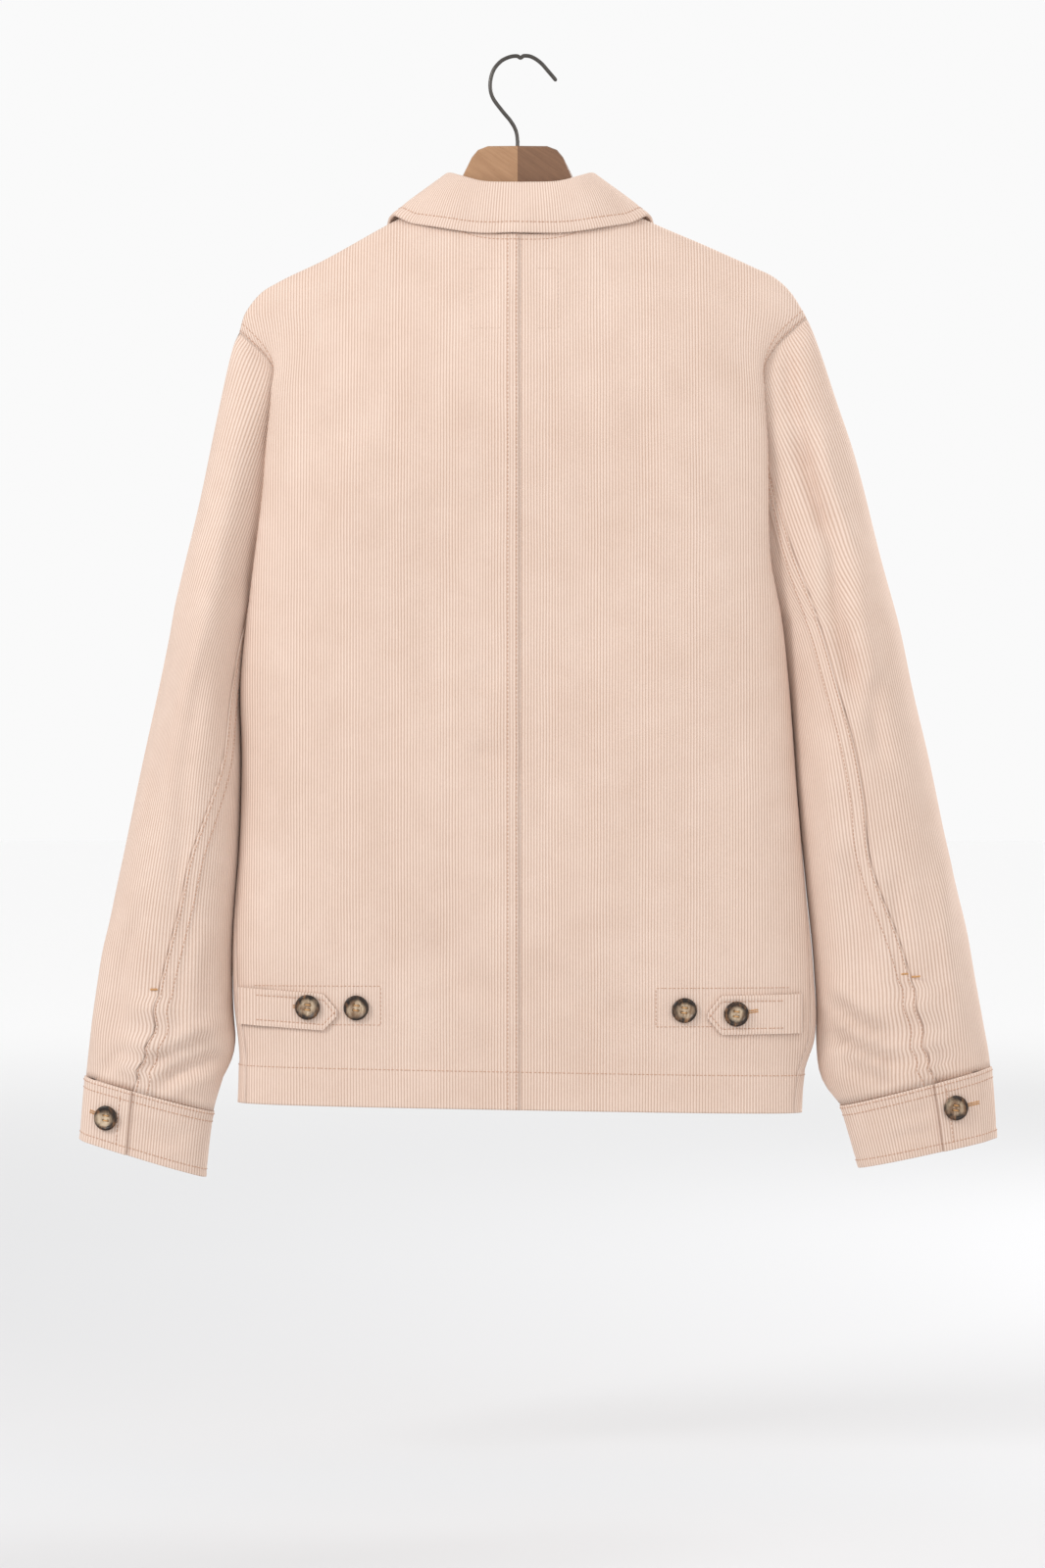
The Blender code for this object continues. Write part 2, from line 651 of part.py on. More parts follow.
def build_side(side):
    """The back, front, top sleeve and under sleeve of one side, which share the normals of their seams."""
    grids = {
        "back": body_panel(side, 1),
        "front": body_panel(side, -1),
        "sleeve_top": sleeve_piece(side, "top"),
        "sleeve_under": sleeve_piece(side, "under"),
    }
    outward = {
        "back": (0, 1, 0),
        "front": (0, -1, 0),
        "sleeve_top": (SIGN[side], 0, 0),
        "sleeve_under": (-SIGN[side], 0, 0),
    }
    low = len(BELOW_UNDERARM)
    steps = ARMHOLE_STEPS
    back, front = grids["back"], grids["front"]
    top, under = grids["sleeve_top"], grids["sleeve_under"]
    # The sleeve's first ring is the body's own armhole points. Body rows run up from the underarm.
    for k in range(steps + 1):
        row = low + steps - k
        for grid, face in ((back, 1), (front, -1)):
            notch = BACK_NOTCH if face > 0 else FRONT_NOTCH
            if k <= notch:
                top[0, FRONT_NOTCH + face * k] = grid[row, -1]
            if k >= notch:
                centre = steps - FRONT_NOTCH
                under[0, centre + face * (steps - k)] = grid[row, -1]
    own = {name: normals(grid, outward[name]) for name, grid in grids.items()}
    shared = {name: normal.copy() for name, normal in own.items()}

    def share(places):
        mean = unit(sum(own[name][i, j] for name, i, j in places))
        for name, i, j in places:
            shared[name][i, j] = mean

    for row in range(low + 1):
        places = [("back", row, -1), ("front", row, -1)]
        if row == low:
            places.append(("sleeve_under", 0, steps - FRONT_NOTCH))
        share(places)
    for k in range(steps):
        row = low + steps - k
        for name, face in (("back", 1), ("front", -1)):
            notch = BACK_NOTCH if face > 0 else FRONT_NOTCH
            places = [(name, row, -1)]
            if k <= notch:
                places.append(("sleeve_top", 0, FRONT_NOTCH + face * k))
            if k >= notch:
                places.append(("sleeve_under", 0, steps - FRONT_NOTCH + face * (steps - k)))
            if k > 0:
                share(places)
    share([("back", -1, -1), ("front", -1, -1), ("sleeve_top", 0, FRONT_NOTCH)])
    for row in range(1, top.shape[0]):
        share([("sleeve_top", row, 0), ("sleeve_under", row, 0)])
        share([("sleeve_top", row, -1), ("sleeve_under", row, -1)])
    for name in ("back", "front"):
        first = TOP_PLACES.index(NECK_HALF) + (name == "front")
        shared[name][-1, first:-1, 1] = 0
        shared[name][-1] = unit(shared[name][-1])
    shared["back"][:, 0, 0] = 0
    shared["back"][:, 0] = unit(shared["back"][:, 0])

    walls = {}
    for name, grid in grids.items():
        thick = np.full(grid.shape[:2], CLOTH)
        if name in ("back", "front"):
            thick[:2] = HEM_CLOTH
            thick[low:-1, -1] = CREASE_CLOTH
        else:
            thick[0] = CREASE_CLOTH
            thick[1 : len(FAN_SHARES), [0, -1]] = CREASE_CLOTH
        walls[name] = (grid, inner_grid(grid, own[name], shared[name], thick))
    for name, (outer, inner) in walls.items():
        if name in ("back", "front"):
            pull_back(outer[:low], inner[:low], (1, -1), SEAM_GAP)
            pull_back(outer[low:], inner[low:], (1, -1), CREASE_GAP)
            pull_back(outer[low : low + 2], inner[low : low + 2], (1, -1), UNDERARM_GAP)
            ridge = slice(TOP_PLACES.index(NECK_HALF) + (name == "front"), None)
            pull_back(outer[:, ridge], inner[:, ridge], (0, -1), SHOULDER_GAP)
        else:
            pull_back(outer, inner, (0, 0), CREASE_GAP)
            for rows, gap in ((slice(0, FAN_TIGHT), CREASE_GAP), (slice(FAN_TIGHT, None), SEAM_GAP)):
                pull_back(outer[rows], inner[rows], (1, 0), gap)
                pull_back(outer[rows], inner[rows], (1, -1), gap)
            pull_back(outer, inner, (0, -1), SEAM_GAP)
    pull_back(*walls["back"], (1, 0), SEAM_GAP)
    return walls


def lap_front(walls):
    """Moves the left front's edge out over the right front's."""
    outer, inner = walls["front"]
    over = ease((LAP_END - outer[..., 0]) / (LAP_END - FRONT_LAP - LAP_MARGIN)) * (HEM_CLOTH + LAY_GAP)
    outer[..., 1] -= over
    inner[..., 1] -= over


def cuff(side):
    """A closed band whose end laps over its start at the sleeve's back seam."""
    levels = np.linspace(CUFF_TOP[side] - SEAM_GAP, CUFF_END[side], CUFF_RINGS)
    level = levels[:, None]
    turn = np.linspace(-1, 1, CUFF_ROUND)
    ring = sleeve_point(side, turn[None, :] + 0 * level, level + 0 * turn)
    step = np.linalg.norm(np.diff(ring, axis=1), axis=2).mean(0)
    along = np.concatenate(([0], np.cumsum(step)))
    split = np.interp(seam_share(side, 1, levels.mean()), turn, along)
    whole = along[-1]
    lap_from = whole - CUFF_LAP / 2
    plain = np.linspace(0, lap_from, CUFF_ROUND // 2)
    lapped = np.linspace(lap_from, whole + CUFF_LAP, 10)[1:]
    arc = np.concatenate((plain, lapped))
    # The band starts under the lap, runs over the inner edge, the front and the outer edge, and ends on the split.
    place = (split - CUFF_LAP + arc) % whole
    share = np.interp(place, along, turn)
    outer = sleeve_point(side, share[None, :] + 0 * level, level + 0 * share)
    before = np.interp((place - 1) % whole, along, turn)
    after = np.interp((place + 1) % whole, along, turn)
    tangent = sleeve_point(side, after[None, :] + 0 * level, level + 0 * share)
    tangent = unit(tangent - sleeve_point(side, before[None, :] + 0 * level, level + 0 * share))
    normal = unit(np.cross(tangent, (0, 0, 1.0))) * SIGN[side]
    proud = CUFF_PROUD + (DOUBLE_CLOTH + LAY_GAP) * ease((arc - lap_from) / (CUFF_LAP / 2))
    outer = outer + normal * proud[None, :, None]
    return outer, outer - normal * DOUBLE_CLOTH


def on_panel(grid, x, height):
    """Points of a panel's outer grid at places x and heights, read along its rows and then between them."""
    x, height = np.broadcast_arrays(np.asarray(x, float), np.asarray(height, float))
    sign = np.sign(grid[0, -1, 0])
    rows = []
    for row in grid:
        usable = np.concatenate(([True], np.diff(sign * row[:, 0]) > 0))
        across = sign * row[usable, 0]
        rows.append([np.interp(sign * x, across, row[usable, k]) for k in (1, 2)])
    rows = np.array(rows)
    y = np.empty(x.shape)
    for place in np.ndindex(x.shape):
        heights = rows[(slice(None), 1, *place)]
        y[place] = np.interp(height[place], heights, rows[(slice(None), 0, *place)])
    return np.stack([x, y, height], -1)


def panel_normal(grid, x, height, face):
    """The panel's unit normal at one place."""
    reach = 4.0
    across = on_panel(grid, x + reach, height) - on_panel(grid, x - reach, height)
    up = on_panel(grid, x, height + reach) - on_panel(grid, x, height - reach)
    normal = unit(np.cross(across, up))
    return normal * np.sign(normal[..., 1:2] * face)


def waist_tab(side, back):
    """A strip with a pointed end, laid on the back from the side seam."""
    root_x, root_height, tip_x, tip_height, half = TAB_ROWS[side]
    length = abs(tip_x - root_x)
    along = np.array((0, 8, 18, 28, 38, 48, 58, length - TAB_TAPER, length - TAB_TAPER / 2, length)) / length
    narrow = np.clip((1 - along) * length / TAB_TAPER, 0, 1)
    reach = TAB_TIP_HALF + (half - TAB_TIP_HALF) * narrow
    across = np.array((-1, 0, 1))
    x = (root_x + (tip_x - root_x) * along)[None, :] + 0 * across[:, None]
    height = root_height + (tip_height - root_height) * along
    z = height[None, :] + across[:, None] * reach[None, :]
    base = on_panel(back, x, z)
    normal = panel_normal(back, x, z, 1)
    gap = (LAY_GAP + TAB_ROOT_LIFT * ease((np.abs(x) - TAB_FLAT_END) / 15))[..., None]
    return base + normal * (gap + DOUBLE_CLOTH), base + normal * gap


def add_button(name, centre, normal):
    """A round button with a raised rim, its flat base at the centre and its face along the normal."""
    normal = unit(np.asarray(normal, float))
    side = unit(np.cross(normal, (0, 0, 1.0)))
    up = np.cross(side, normal)
    turn = 2 * np.pi * np.arange(BUTTON_SIDES) / BUTTON_SIDES
    points = [centre]
    for radius, rise in BUTTON_PROFILE[1:-1]:
        ring = np.outer(np.cos(turn), side) + np.outer(np.sin(turn), up)
        points.extend(centre + ring * radius * BUTTON_RADIUS + normal * rise)
    points.append(centre + normal * BUTTON_PROFILE[-1][1])
    rings = len(BUTTON_PROFILE) - 2
    faces = []
    last = len(points) - 1
    for k in range(BUTTON_SIDES):
        after = (k + 1) % BUTTON_SIDES
        faces.append((0, 1 + k, 1 + after))
        faces.append((last, last - BUTTON_SIDES + after, last - BUTTON_SIDES + k))
        for ring in range(rings - 1):
            first = 1 + ring * BUTTON_SIDES
            faces.append((first + k, first + BUTTON_SIDES + k, first + BUTTON_SIDES + after, first + after))
    if signed_volume(np.array(points), faces) < 0:
        faces = [face[::-1] for face in faces]
    return add_object(name, points, faces, "button_horn")


def back_buttons(walls):
    for name, (x, height) in BACK_BUTTONS.items():
        side = name.split("_")[-1]
        back = walls[side]["back"][0]
        under = LAY_GAP + (DOUBLE_CLOTH + LAY_GAP if "tab" in name else 0) + BUTTON_SEAT
        normal = panel_normal(back, x, height, 1)
        add_button(name, on_panel(back, x, height) + normal * under, normal)


def front_buttons(front):
    for k in range(FRONT_BUTTONS):
        height = FRONT_BUTTON_TOP - FRONT_BUTTON_STEP * k
        place = on_panel(front, 1.0, height)
        normal = np.array((0, -1.0, 0.0))
        if k == 0:
            normal = panel_normal(front, 1.0, height, -1)
        add_button(f"button_front_{k + 1}", place + normal * (LAY_GAP + BUTTON_SEAT), normal)


def cuff_button(side, outer):
    """A button on the lapped end of a cuff."""
    x, height = CUFF_BUTTONS[side]
    end = outer[:, -9:]
    flat = end.reshape(-1, 3)
    near = np.argsort(np.hypot(flat[:, 0] - x, flat[:, 2] - height))[:3]
    across = end[1, -1] - end[1, 0]
    normal = unit(np.cross(across, end[-1, 4] - end[0, 4]))
    normal = normal * np.sign(normal[1])
    offset = (flat[near] @ normal).max()
    place = np.array((x, 0, height))
    place[1] = (offset - normal[0] * x - normal[2] * height) / normal[1]
    add_button(f"button_cuff_{side}", place + normal * (LAY_GAP + BUTTON_SEAT), normal)


def collar_rows(side, turns):
    """Fold points and edge points of the collar at turns from 0, the centre back, to 1, the front end."""
    fold = [read(COLLAR_COLUMNS, COLLAR_ROWS, name, turns) for name in COLLAR_COLUMNS[1:4]]
    edge = [read(COLLAR_COLUMNS, COLLAR_ROWS, name, turns) for name in COLLAR_COLUMNS[4:]]
    flip = np.array((SIGN[side], 1, 1))
    return np.stack(fold, -1) * flip, np.stack(edge, -1) * flip


def both_sides(rows_of):
    """Rows for the whole collar, from the left front end round the back to the right front end."""
    turns = np.linspace(0, 1, COLLAR_STEPS + 1)
    left, right = rows_of("left", turns), rows_of("right", turns)
    return [np.concatenate((a[::-1], b[1:])) for a, b in zip(left, right)]


def collar_frame(fold, edge):
    """Unit directions down the fall and out of it, for each row."""
    down = unit(edge - fold)
    along = unit(np.gradient(fold, axis=0))
    out = unit(np.cross(along, down))
    middle = len(fold) // 2
    return down, out * np.sign(out[middle, 1])


def collar_fall():
    """The part of the collar that shows: from inside the fold, over it, and down to the outer edge."""
    fold, edge = both_sides(collar_rows)
    down, out = collar_frame(fold, edge)
    rows = []
    for angle in np.radians((200, 150, 100, 50)):
        rows.append(fold + COLLAR_ROLL * (out * math.cos(angle) - down * math.sin(angle)))
    for share in COLLAR_SHARES:
        swell = COLLAR_SWELL * 4 * share * (1 - share)
        rows.append(fold + (edge - fold) * share + out * (COLLAR_ROLL * (1 - share) + swell))
    outer = np.array(rows)
    return outer, outer - normals(outer, (0, 1, 0)) * DOUBLE_CLOTH


def collar_stand(walls):
    """The band inside the fall: from the neckline up to the fold."""
    fold, edge = both_sides(collar_rows)
    down, out = collar_frame(fold, edge)
    top = fold - out * (DOUBLE_CLOTH + LAY_GAP) + down * (COLLAR_ROLL + 1)
    feet, lifts = [], []
    turns = np.linspace(0, 1, COLLAR_STEPS + 1)[:-STAND_ENDS]
    for side in ("left", "right"):
        back, front = walls[side]["back"][0], walls[side]["front"][0]
        neck_back = back[-1, : TOP_PLACES.index(NECK_HALF) + 1]
        across = SIGN[side] * front[-1, :, 0]
        neck_front = front[-1, (across > FRONT_LAP) & (across <= NECK_HALF + 1)][::-1]
        line = np.concatenate((neck_back, neck_front[1:]))
        along = np.concatenate(([0], np.cumsum(np.linalg.norm(np.diff(line, axis=0), axis=1))))
        corner = along[len(neck_back) - 1]
        places = np.interp(turns, (0, NECK_TURN, turns[-1]), (0, corner, along[-1] - STAND_SHORT))
        points = np.stack([np.interp(places, along, line[:, k]) for k in range(3)], -1)
        away = unit(np.cross(np.gradient(points, axis=0), (0, 1.0, 0)))
        feet.append(points)
        lifts.append(away * np.sign(away[:, 2:] - SIGN[side] * away[:, :1]))
    foot = np.concatenate((feet[0][::-1], feet[1][1:]))
    away = np.concatenate((lifts[0][::-1], lifts[1][1:]))
    foot = foot + away * STAND_LIFT
    rise = top[STAND_ENDS:-STAND_ENDS] - foot
    outer = np.array([foot + rise * share for share in STAND_SHARES])
    own = normals(outer, (0, 1, 0))
    own[0] = unit(own[0] - away * (own[0] * away).sum(1, keepdims=True))
    return outer, outer - own * STAND_CLOTH


def tube(name, line, radius, sides, finish):
    """A round bar with closed ends along a line in the XZ plane."""
    line = np.asarray(line, float)
    tangent = unit(np.gradient(line, axis=0))
    across = np.array((0, 1.0, 0))
    other = np.cross(tangent, across)
    turn = 2 * np.pi * np.arange(sides) / sides
    rings = line[:, None] + radius * (np.cos(turn)[None, :, None] * across + np.sin(turn)[None, :, None] * other[:, None])
    points = rings.reshape(-1, 3)
    faces = []
    for i in range(len(line) - 1):
        for k in range(sides):
            after = (k + 1) % sides
            faces.append((i * sides + k, i * sides + after, (i + 1) * sides + after, (i + 1) * sides + k))
    faces.append(tuple(range(sides))[::-1])
    faces.append(tuple((len(line) - 1) * sides + k for k in range(sides)))
    if signed_volume(points, faces) < 0:
        faces = [face[::-1] for face in faces]
    return add_object(name, points, faces, finish)


def hook():
    """The wire hook: a smooth curve through its points, up from the block, over the top and down to the tip."""
    points = np.array(HOOK_POINTS, float)
    along = np.concatenate(([0], np.cumsum(np.linalg.norm(np.diff(points, axis=0), axis=1))))
    places = np.linspace(0, along[-1], HOOK_RINGS)
    x, z = (smooth_row(places, along, points[:, k]) for k in (0, 1))
    tube("hanger_hook", np.stack([x, 0 * x, z - HOOK_WIRE], -1), HOOK_WIRE, HOOK_SIDES, "wire")


def hanger_half(side, walls):
    """One wooden arm: level below the neck block, then along the inside of the shoulder, with rounded edges."""
    back, front = walls["back"][1], walls["front"][1]
    turn = 2 * np.pi * (np.arange(HANGER_SIDES) + 0.5) / HANGER_SIDES
    round_y, round_z = np.cos(turn), np.sin(turn)
    rings = []

    def ring(x, top, tall, edge, half_thick):
        z = top - tall / 2 + np.sign(round_z) * (tall / 2 - edge) + edge * round_z
        return np.stack([np.full(HANGER_SIDES, SIGN[side] * x), half_thick * round_y, z], -1)

    for x, top, tall, edge, half_thick in HANGER_BLOCK:
        rings.append(ring(max(x, SEAM_GAP / 2), top, tall, edge, half_thick))
        rings[-1][:, 0] += HOOK_STEM * (x < NECK_HALF - 20)
    for x in np.linspace(ARM_START, HANGER_TIP, HANGER_STEPS):
        tall = np.interp(x, (ARM_START, HANGER_TIP), (ARM_TALL, HANGER_END))
        ridge = min(np.interp(x, np.abs(grid[-1, :, 0]), grid[-1, :, 2]) for grid in (back, front))
        arm = ring(x, ridge - ARM_GAP, tall, ARM_EDGE, HANGER_HALF_THICK)
        # The wood lies against the cloth, so its thickness near the ridge is what the cloth leaves.
        most = on_panel(back, arm[:, 0], arm[:, 2])[:, 1] - ARM_GAP
        least = on_panel(front, arm[:, 0], arm[:, 2])[:, 1] + ARM_GAP
        arm[:, 1] = np.clip(arm[:, 1], np.minimum(least, -0.2), np.maximum(most, 0.2))
        rings.append(arm)
    rings = np.array(rings)
    points = rings.reshape(-1, 3)
    faces = []
    for i in range(len(rings) - 1):
        for k in range(HANGER_SIDES):
            after = (k + 1) % HANGER_SIDES
            first = i * HANGER_SIDES
            faces.append((first + k, first + after, first + HANGER_SIDES + after, first + HANGER_SIDES + k))
    faces.append(tuple(range(HANGER_SIDES))[::-1])
    faces.append(tuple((len(rings) - 1) * HANGER_SIDES + k for k in range(HANGER_SIDES)))
    if signed_volume(points, faces) < 0:
        faces = [face[::-1] for face in faces]
    return add_object(f"hanger_{side}", points, faces, "wood")


def main():
    clear_scene()
    walls = {side: build_side(side) for side in SIGN}
    lap_front(walls["left"])
    for side, pieces in walls.items():
        for name, (outer, inner) in pieces.items():
            add_wall(f"{name}_{side}", outer, inner)
        outer, inner = cuff(side)
        add_wall(f"cuff_{side}", outer, inner)
        cuff_button(side, outer)
        add_wall(f"waist_tab_{side}", *waist_tab(side, pieces["back"][0]))
        hanger_half(side, pieces)
    add_wall("collar_stand", *collar_stand(walls))
    add_wall("collar_fall", *collar_fall())
    back_buttons(walls)
    front_buttons(walls["left"]["front"][0])
    hook()


main()
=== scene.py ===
# %% [markdown]
# # A corduroy work jacket on its wooden hanger
# The jacket hangs with its back to the camera. Its cloth is built the way a tailor sees it: a few flat
# cuts, each bent into one smooth surface, that meet at seams. Every surface here is a function of two
# numbers, one across the cut and one along it, worked out as whole arrays. All sizes are millimetres
# until a mesh is made.

# %% Load the frame
import math
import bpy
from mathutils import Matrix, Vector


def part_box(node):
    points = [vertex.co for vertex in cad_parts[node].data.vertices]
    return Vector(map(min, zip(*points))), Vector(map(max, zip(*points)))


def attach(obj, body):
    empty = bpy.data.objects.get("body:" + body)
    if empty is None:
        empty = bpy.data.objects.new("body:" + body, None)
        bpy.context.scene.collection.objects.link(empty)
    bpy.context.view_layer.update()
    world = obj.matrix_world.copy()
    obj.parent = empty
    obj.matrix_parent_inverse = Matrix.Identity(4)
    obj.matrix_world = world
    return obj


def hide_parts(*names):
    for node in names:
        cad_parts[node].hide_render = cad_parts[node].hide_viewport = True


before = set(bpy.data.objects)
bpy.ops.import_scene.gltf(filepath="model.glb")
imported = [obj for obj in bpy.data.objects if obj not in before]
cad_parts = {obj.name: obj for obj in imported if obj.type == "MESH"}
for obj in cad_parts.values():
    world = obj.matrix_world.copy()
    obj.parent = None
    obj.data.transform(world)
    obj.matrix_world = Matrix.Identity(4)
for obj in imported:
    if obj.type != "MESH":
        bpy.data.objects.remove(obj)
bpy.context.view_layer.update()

from types import SimpleNamespace

import bpy
import numpy as np
from mathutils import Vector

MM = 0.001
SIGN = {"left": 1.0, "right": -1.0}
FACE = {"back": 1.0, "front": -1.0}

# %% [markdown]
# ## The jacket's measures
# A pattern maker writes a garment down as a few rows of sizes, and a curve is drawn through them. The
# tables below do that for the body, the shoulders and the sleeves. They could be one big list of points,
# but a table with named columns can be read, checked against the real jacket and changed.

# %% Tables of sizes
CLOTH = 1.5  # one layer of corduroy
HEM_CLOTH = 2.9  # the turned hem
DOUBLE_CLOTH = 2.5  # collar, cuffs and tabs
LAY_GAP = 0.3  # under a piece that lies on another
HEM = -847.0
HEM_LEAN = 0.018  # rise of the hem for each millimetre towards the wearer's left
HEM_TURN = 31.0  # from the hem's fold to its stitching
UNDERARM = -455.0
NECK_HALF = 75.0
BACK_NECK = -147.0
FRONT_NECK = -205.0
FRONT_LAP = 18.0  # from the centre front to the edge that laps over
LAP_END = 60.0  # from here to the side, the upper front is at its own depth
SHOULDER_RUN = 230.0  # below the shoulder line, the depth is full from here down
SHOULDER_POWER = 1.3
LOOP_POWER = 2 / 3  # of the sine and cosine of a level's loop: smaller is squarer
LOOP_STEPS = 720
DENT_REACH = 27.0  # half the depth over which a sleeve dents the side
ARMHOLE_HALF = 14.0  # half the armhole's depth
BACK_NOTCH = 5 / 12  # share of the armhole's turn at which the sleeve's back seam starts
FRONT_NOTCH = 7 / 12
FAN_END = -475.0  # the first level ring of a sleeve, below its fan
SLEEVE_CLEAR = 0.25  # between the body's side and a sleeve that hangs against it
FREE_LEVEL = -778.0  # below this the sleeves stand off the body, in a curve
SLEEVE_LEAVING = 0.012
UNDERARM_BLEND = 6.0
TUCK_START = 0.45  # share of a sleeve's turn from which its inner side is tucked in
SIDE_STILL = 13.0  # half the depth of the strip, on sleeve and side, that no crease moves
CUFF_TOP = {"left": -836.0, "right": -830.0}
CUFF_END = {"left": -888.0, "right": -884.0}

DEPTH_COLUMNS = ("height", "back", "front", "dent", "seam")
DEPTH_ROWS = (
    (-860, 40, 43, 0, 18),
    (-800, 42, 45, 0, 18),
    (-740, 45, 48, 0, 17),
    (-650, 48, 50, 1, 12),
    (-550, 50, 50, 4, 6),
    (-455, 50, 48, 10, 0),
    (-400, 50, 47, 16, 0),
    (-340, 50, 46, 21, 0),
    (-260, 50, 44, 19, 0),
    (-236, 50, 44, 7, 0),
    (-210, 50, 44, 0, 0),
)
WIDTH_COLUMNS = ("height", "half_width")
WIDTH_ROWS = {
    "left": (
        (-860, 227.5), (-809, 226.5), (-763, 231), (-713, 231.5), (-640, 227.5), (-570, 227),
        (-508, 230), (-426, 224), (-366, 219), (-282, 216), (-246, 215), (-223.6, 230),
    ),
    "right": (
        (-860, 225.5), (-815, 228.5), (-787, 237), (-735, 236), (-666, 230), (-588, 224.5),
        (-508, 221), (-452, 216), (-406, 208), (-334, 209.5), (-282, 209.5), (-236, 213),
        (-212.5, 231.5),
    ),
}
SHOULDER_COLUMNS = ("out", "height")
SHOULDER_ROWS = {
    "left": (
        (0, -90), (75, -120.5), (103.5, -134.3), (159, -165),
        (196, -183), (210, -192), (221, -206), (230, -223.6),
    ),
    "right": (
        (0, -90), (75, -119.5), (103.5, -133.5), (149, -153),
        (188, -170.6), (205, -179), (218, -191), (231.5, -212.5),
    ),
}
SLEEVE_COLUMNS = ("height", "outer", "inner", "back", "front", "tuck", "lean")
SLEEVE_ROWS = {
    "left": (
        (-890, 354.5, 254.5, 19, 19, 0, 0.31),
        (-836, 350, 247.5, 24, 24, 0, 0.28),
        (-800, 346.5, 236.5, 29, 29, 0, 0.18),
        (-765, 342, 234.5, 33, 33, 0, 0.08),
        (-727, 336.5, 236, 37, 37, 0, 0),
        (-683, 328, 237, 42, 42, 0, 0),
        (-631, 317, 235.5, 46, 46, 0, 0),
        (-570, 304.5, 232.5, 50, 50, 0, 0),
        (-508, 291, 229, 51, 52, 0.25, 0),
        (-460, 281, 221.5, 48, 50, 0.55, 0),
        (-420, 272, 214, 41, 45, 1, 0),
        (-356, 257.5, 205, 31, 35, 1, 0),
        (-303, 247, 203, 23, 26, 1, 0),
        (-254, 237, 205, 13, 15, 1, 0),
        (-238, 233.5, 208, 9, 9, 1, 0),
        (-223.6, 230, 230, 0, 0, 1, 0),
    ),
    "right": (
        (-886, 383, 273.5, 19, 19, 0, 0.22),
        (-830, 378.5, 258, 25, 25, 0, 0.26),
        (-787, 373, 241, 30, 30, 0, 0.1),
        (-742, 366, 240, 34, 34, 0, 0),
        (-705, 359.5, 237.5, 37, 37, 0, 0),
        (-666, 350, 233.5, 41, 41, 0, 0),
        (-630, 342, 230.5, 44, 44, 0, 0),
        (-567, 329, 227, 47, 47, 0, 0),
        (-512, 316, 221.5, 48, 49, 0.25, 0),
        (-460, 305, 210, 45, 47, 0.55, 0),
        (-410, 291.5, 200, 38, 41, 1, 0),
        (-319, 268.2, 196, 26, 29, 1, 0),
        (-278, 254.4, 196, 20, 22, 1, 0),
        (-240, 242, 203, 12, 13, 1, 0),
        (-226, 237, 210, 8, 8, 1, 0),
        (-212.5, 231.5, 231.5, 0, 0, 1, 0),
    ),
}
SEAM_COLUMNS = ("height", "back", "front")
SEAM_ROWS = {
    "left": (
        (-890, 0.42, 0.55), (-836, 0.43, 0.55), (-765, 0.475, 0.56), (-685, 0.55, 0.57),
        (-645, 0.575, 0.58), (-614, 0.633, 0.59), (-570, 0.73, 0.62), (-524, 0.78, 0.66),
        (-455, 0.84, 0.76), (-369, 0.95, 1), (-309, 1, 1),
    ),
    "right": (
        (-886, 0.455, 0.55), (-830, 0.42, 0.55), (-764, 0.435, 0.56), (-714, 0.475, 0.57),
        (-647, 0.545, 0.58), (-600, 0.535, 0.59), (-550, 0.55, 0.62), (-503, 0.59, 0.66),
        (-444, 0.63, 0.76), (-405, 0.67, 0.88), (-365, 0.75, 1), (-303, 1, 1),
    ),
}
print("rows of sizes:", len(DEPTH_ROWS) + sum(len(SLEEVE_ROWS[s]) + len(WIDTH_ROWS[s]) for s in SIGN))

# %% [markdown]
# ## Reading a table as a smooth curve
# A ruler through the rows would leave a kink at each one. A cubic through them, whose slope at a row is
# the mean of the slopes beside it, is what a bent spline of wood draws, so it suits cloth.


# %% Curves through rows
def smooth_row(at, knots, values):
    """A cubic through the rows of a table, whose slope at a row is the mean of the chords beside it."""
    knots = np.asarray(knots, float)
    values = np.asarray(values, float)
    at = np.clip(at, knots[0], knots[-1])
    chord = np.diff(values) / np.diff(knots)
    slope = np.concatenate((chord[:1], (chord[1:] + chord[:-1]) / 2, chord[-1:]))
    i = np.clip(np.searchsorted(knots, at) - 1, 0, len(knots) - 2)
    span = knots[i + 1] - knots[i]
    t = (at - knots[i]) / span
    start = values[i] * (1 + 2 * t) * (1 - t) ** 2 + span * slope[i] * t * (1 - t) ** 2
    end = values[i + 1] * t**2 * (3 - 2 * t) + span * slope[i + 1] * t**2 * (t - 1)
    return start + end


def read(columns, rows, name, at):
    """The named column of a table, read at a value of its first column."""
    table = np.array(rows, float)
    return smooth_row(at, table[:, 0], table[:, columns.index(name)])


def ease(t):
    """0 below 0, 1 above 1, and a smooth step between."""
    t = np.clip(t, 0, 1)
    return t * t * (3 - 2 * t)


def unit(vector):
    """The same directions, with length 1."""
    return vector / np.maximum(np.linalg.norm(vector, axis=-1, keepdims=True), 1e-9)


def hump(distance, width):
    """A soft bump: 1 at no distance, and nearly nothing at twice the width."""
    return np.exp(-((distance / width) ** 2))


def lengths_along(line):
    """Distance of each point from the start of its line. The first axis runs along the line."""
    step = np.linalg.norm(np.diff(line, axis=0), axis=-1)
    return np.concatenate((np.zeros_like(step[:1]), np.cumsum(step, axis=0)))


def points_at(at, along, line):
    """Points of a line at distances along it."""
    return np.stack([np.interp(at, along, values) for values in line.T], -1)


def records(columns, rows):
    """The rows of a table, with each value under the name of its column."""
    return [SimpleNamespace(**dict(zip(columns, row))) for row in rows]


# %% [markdown]
# ## The body's form
# Seen from above, a jacket on a hanger is a flattened loop with full sides. Each level of the body is
# such a loop, a superellipse, and its depth closes to nothing at the shoulder line, where front and back
# are sewn together. A point is named by its level and by its distance along the loop, because that
# distance is what a tape measure, and the ribs of the corduroy, follow.


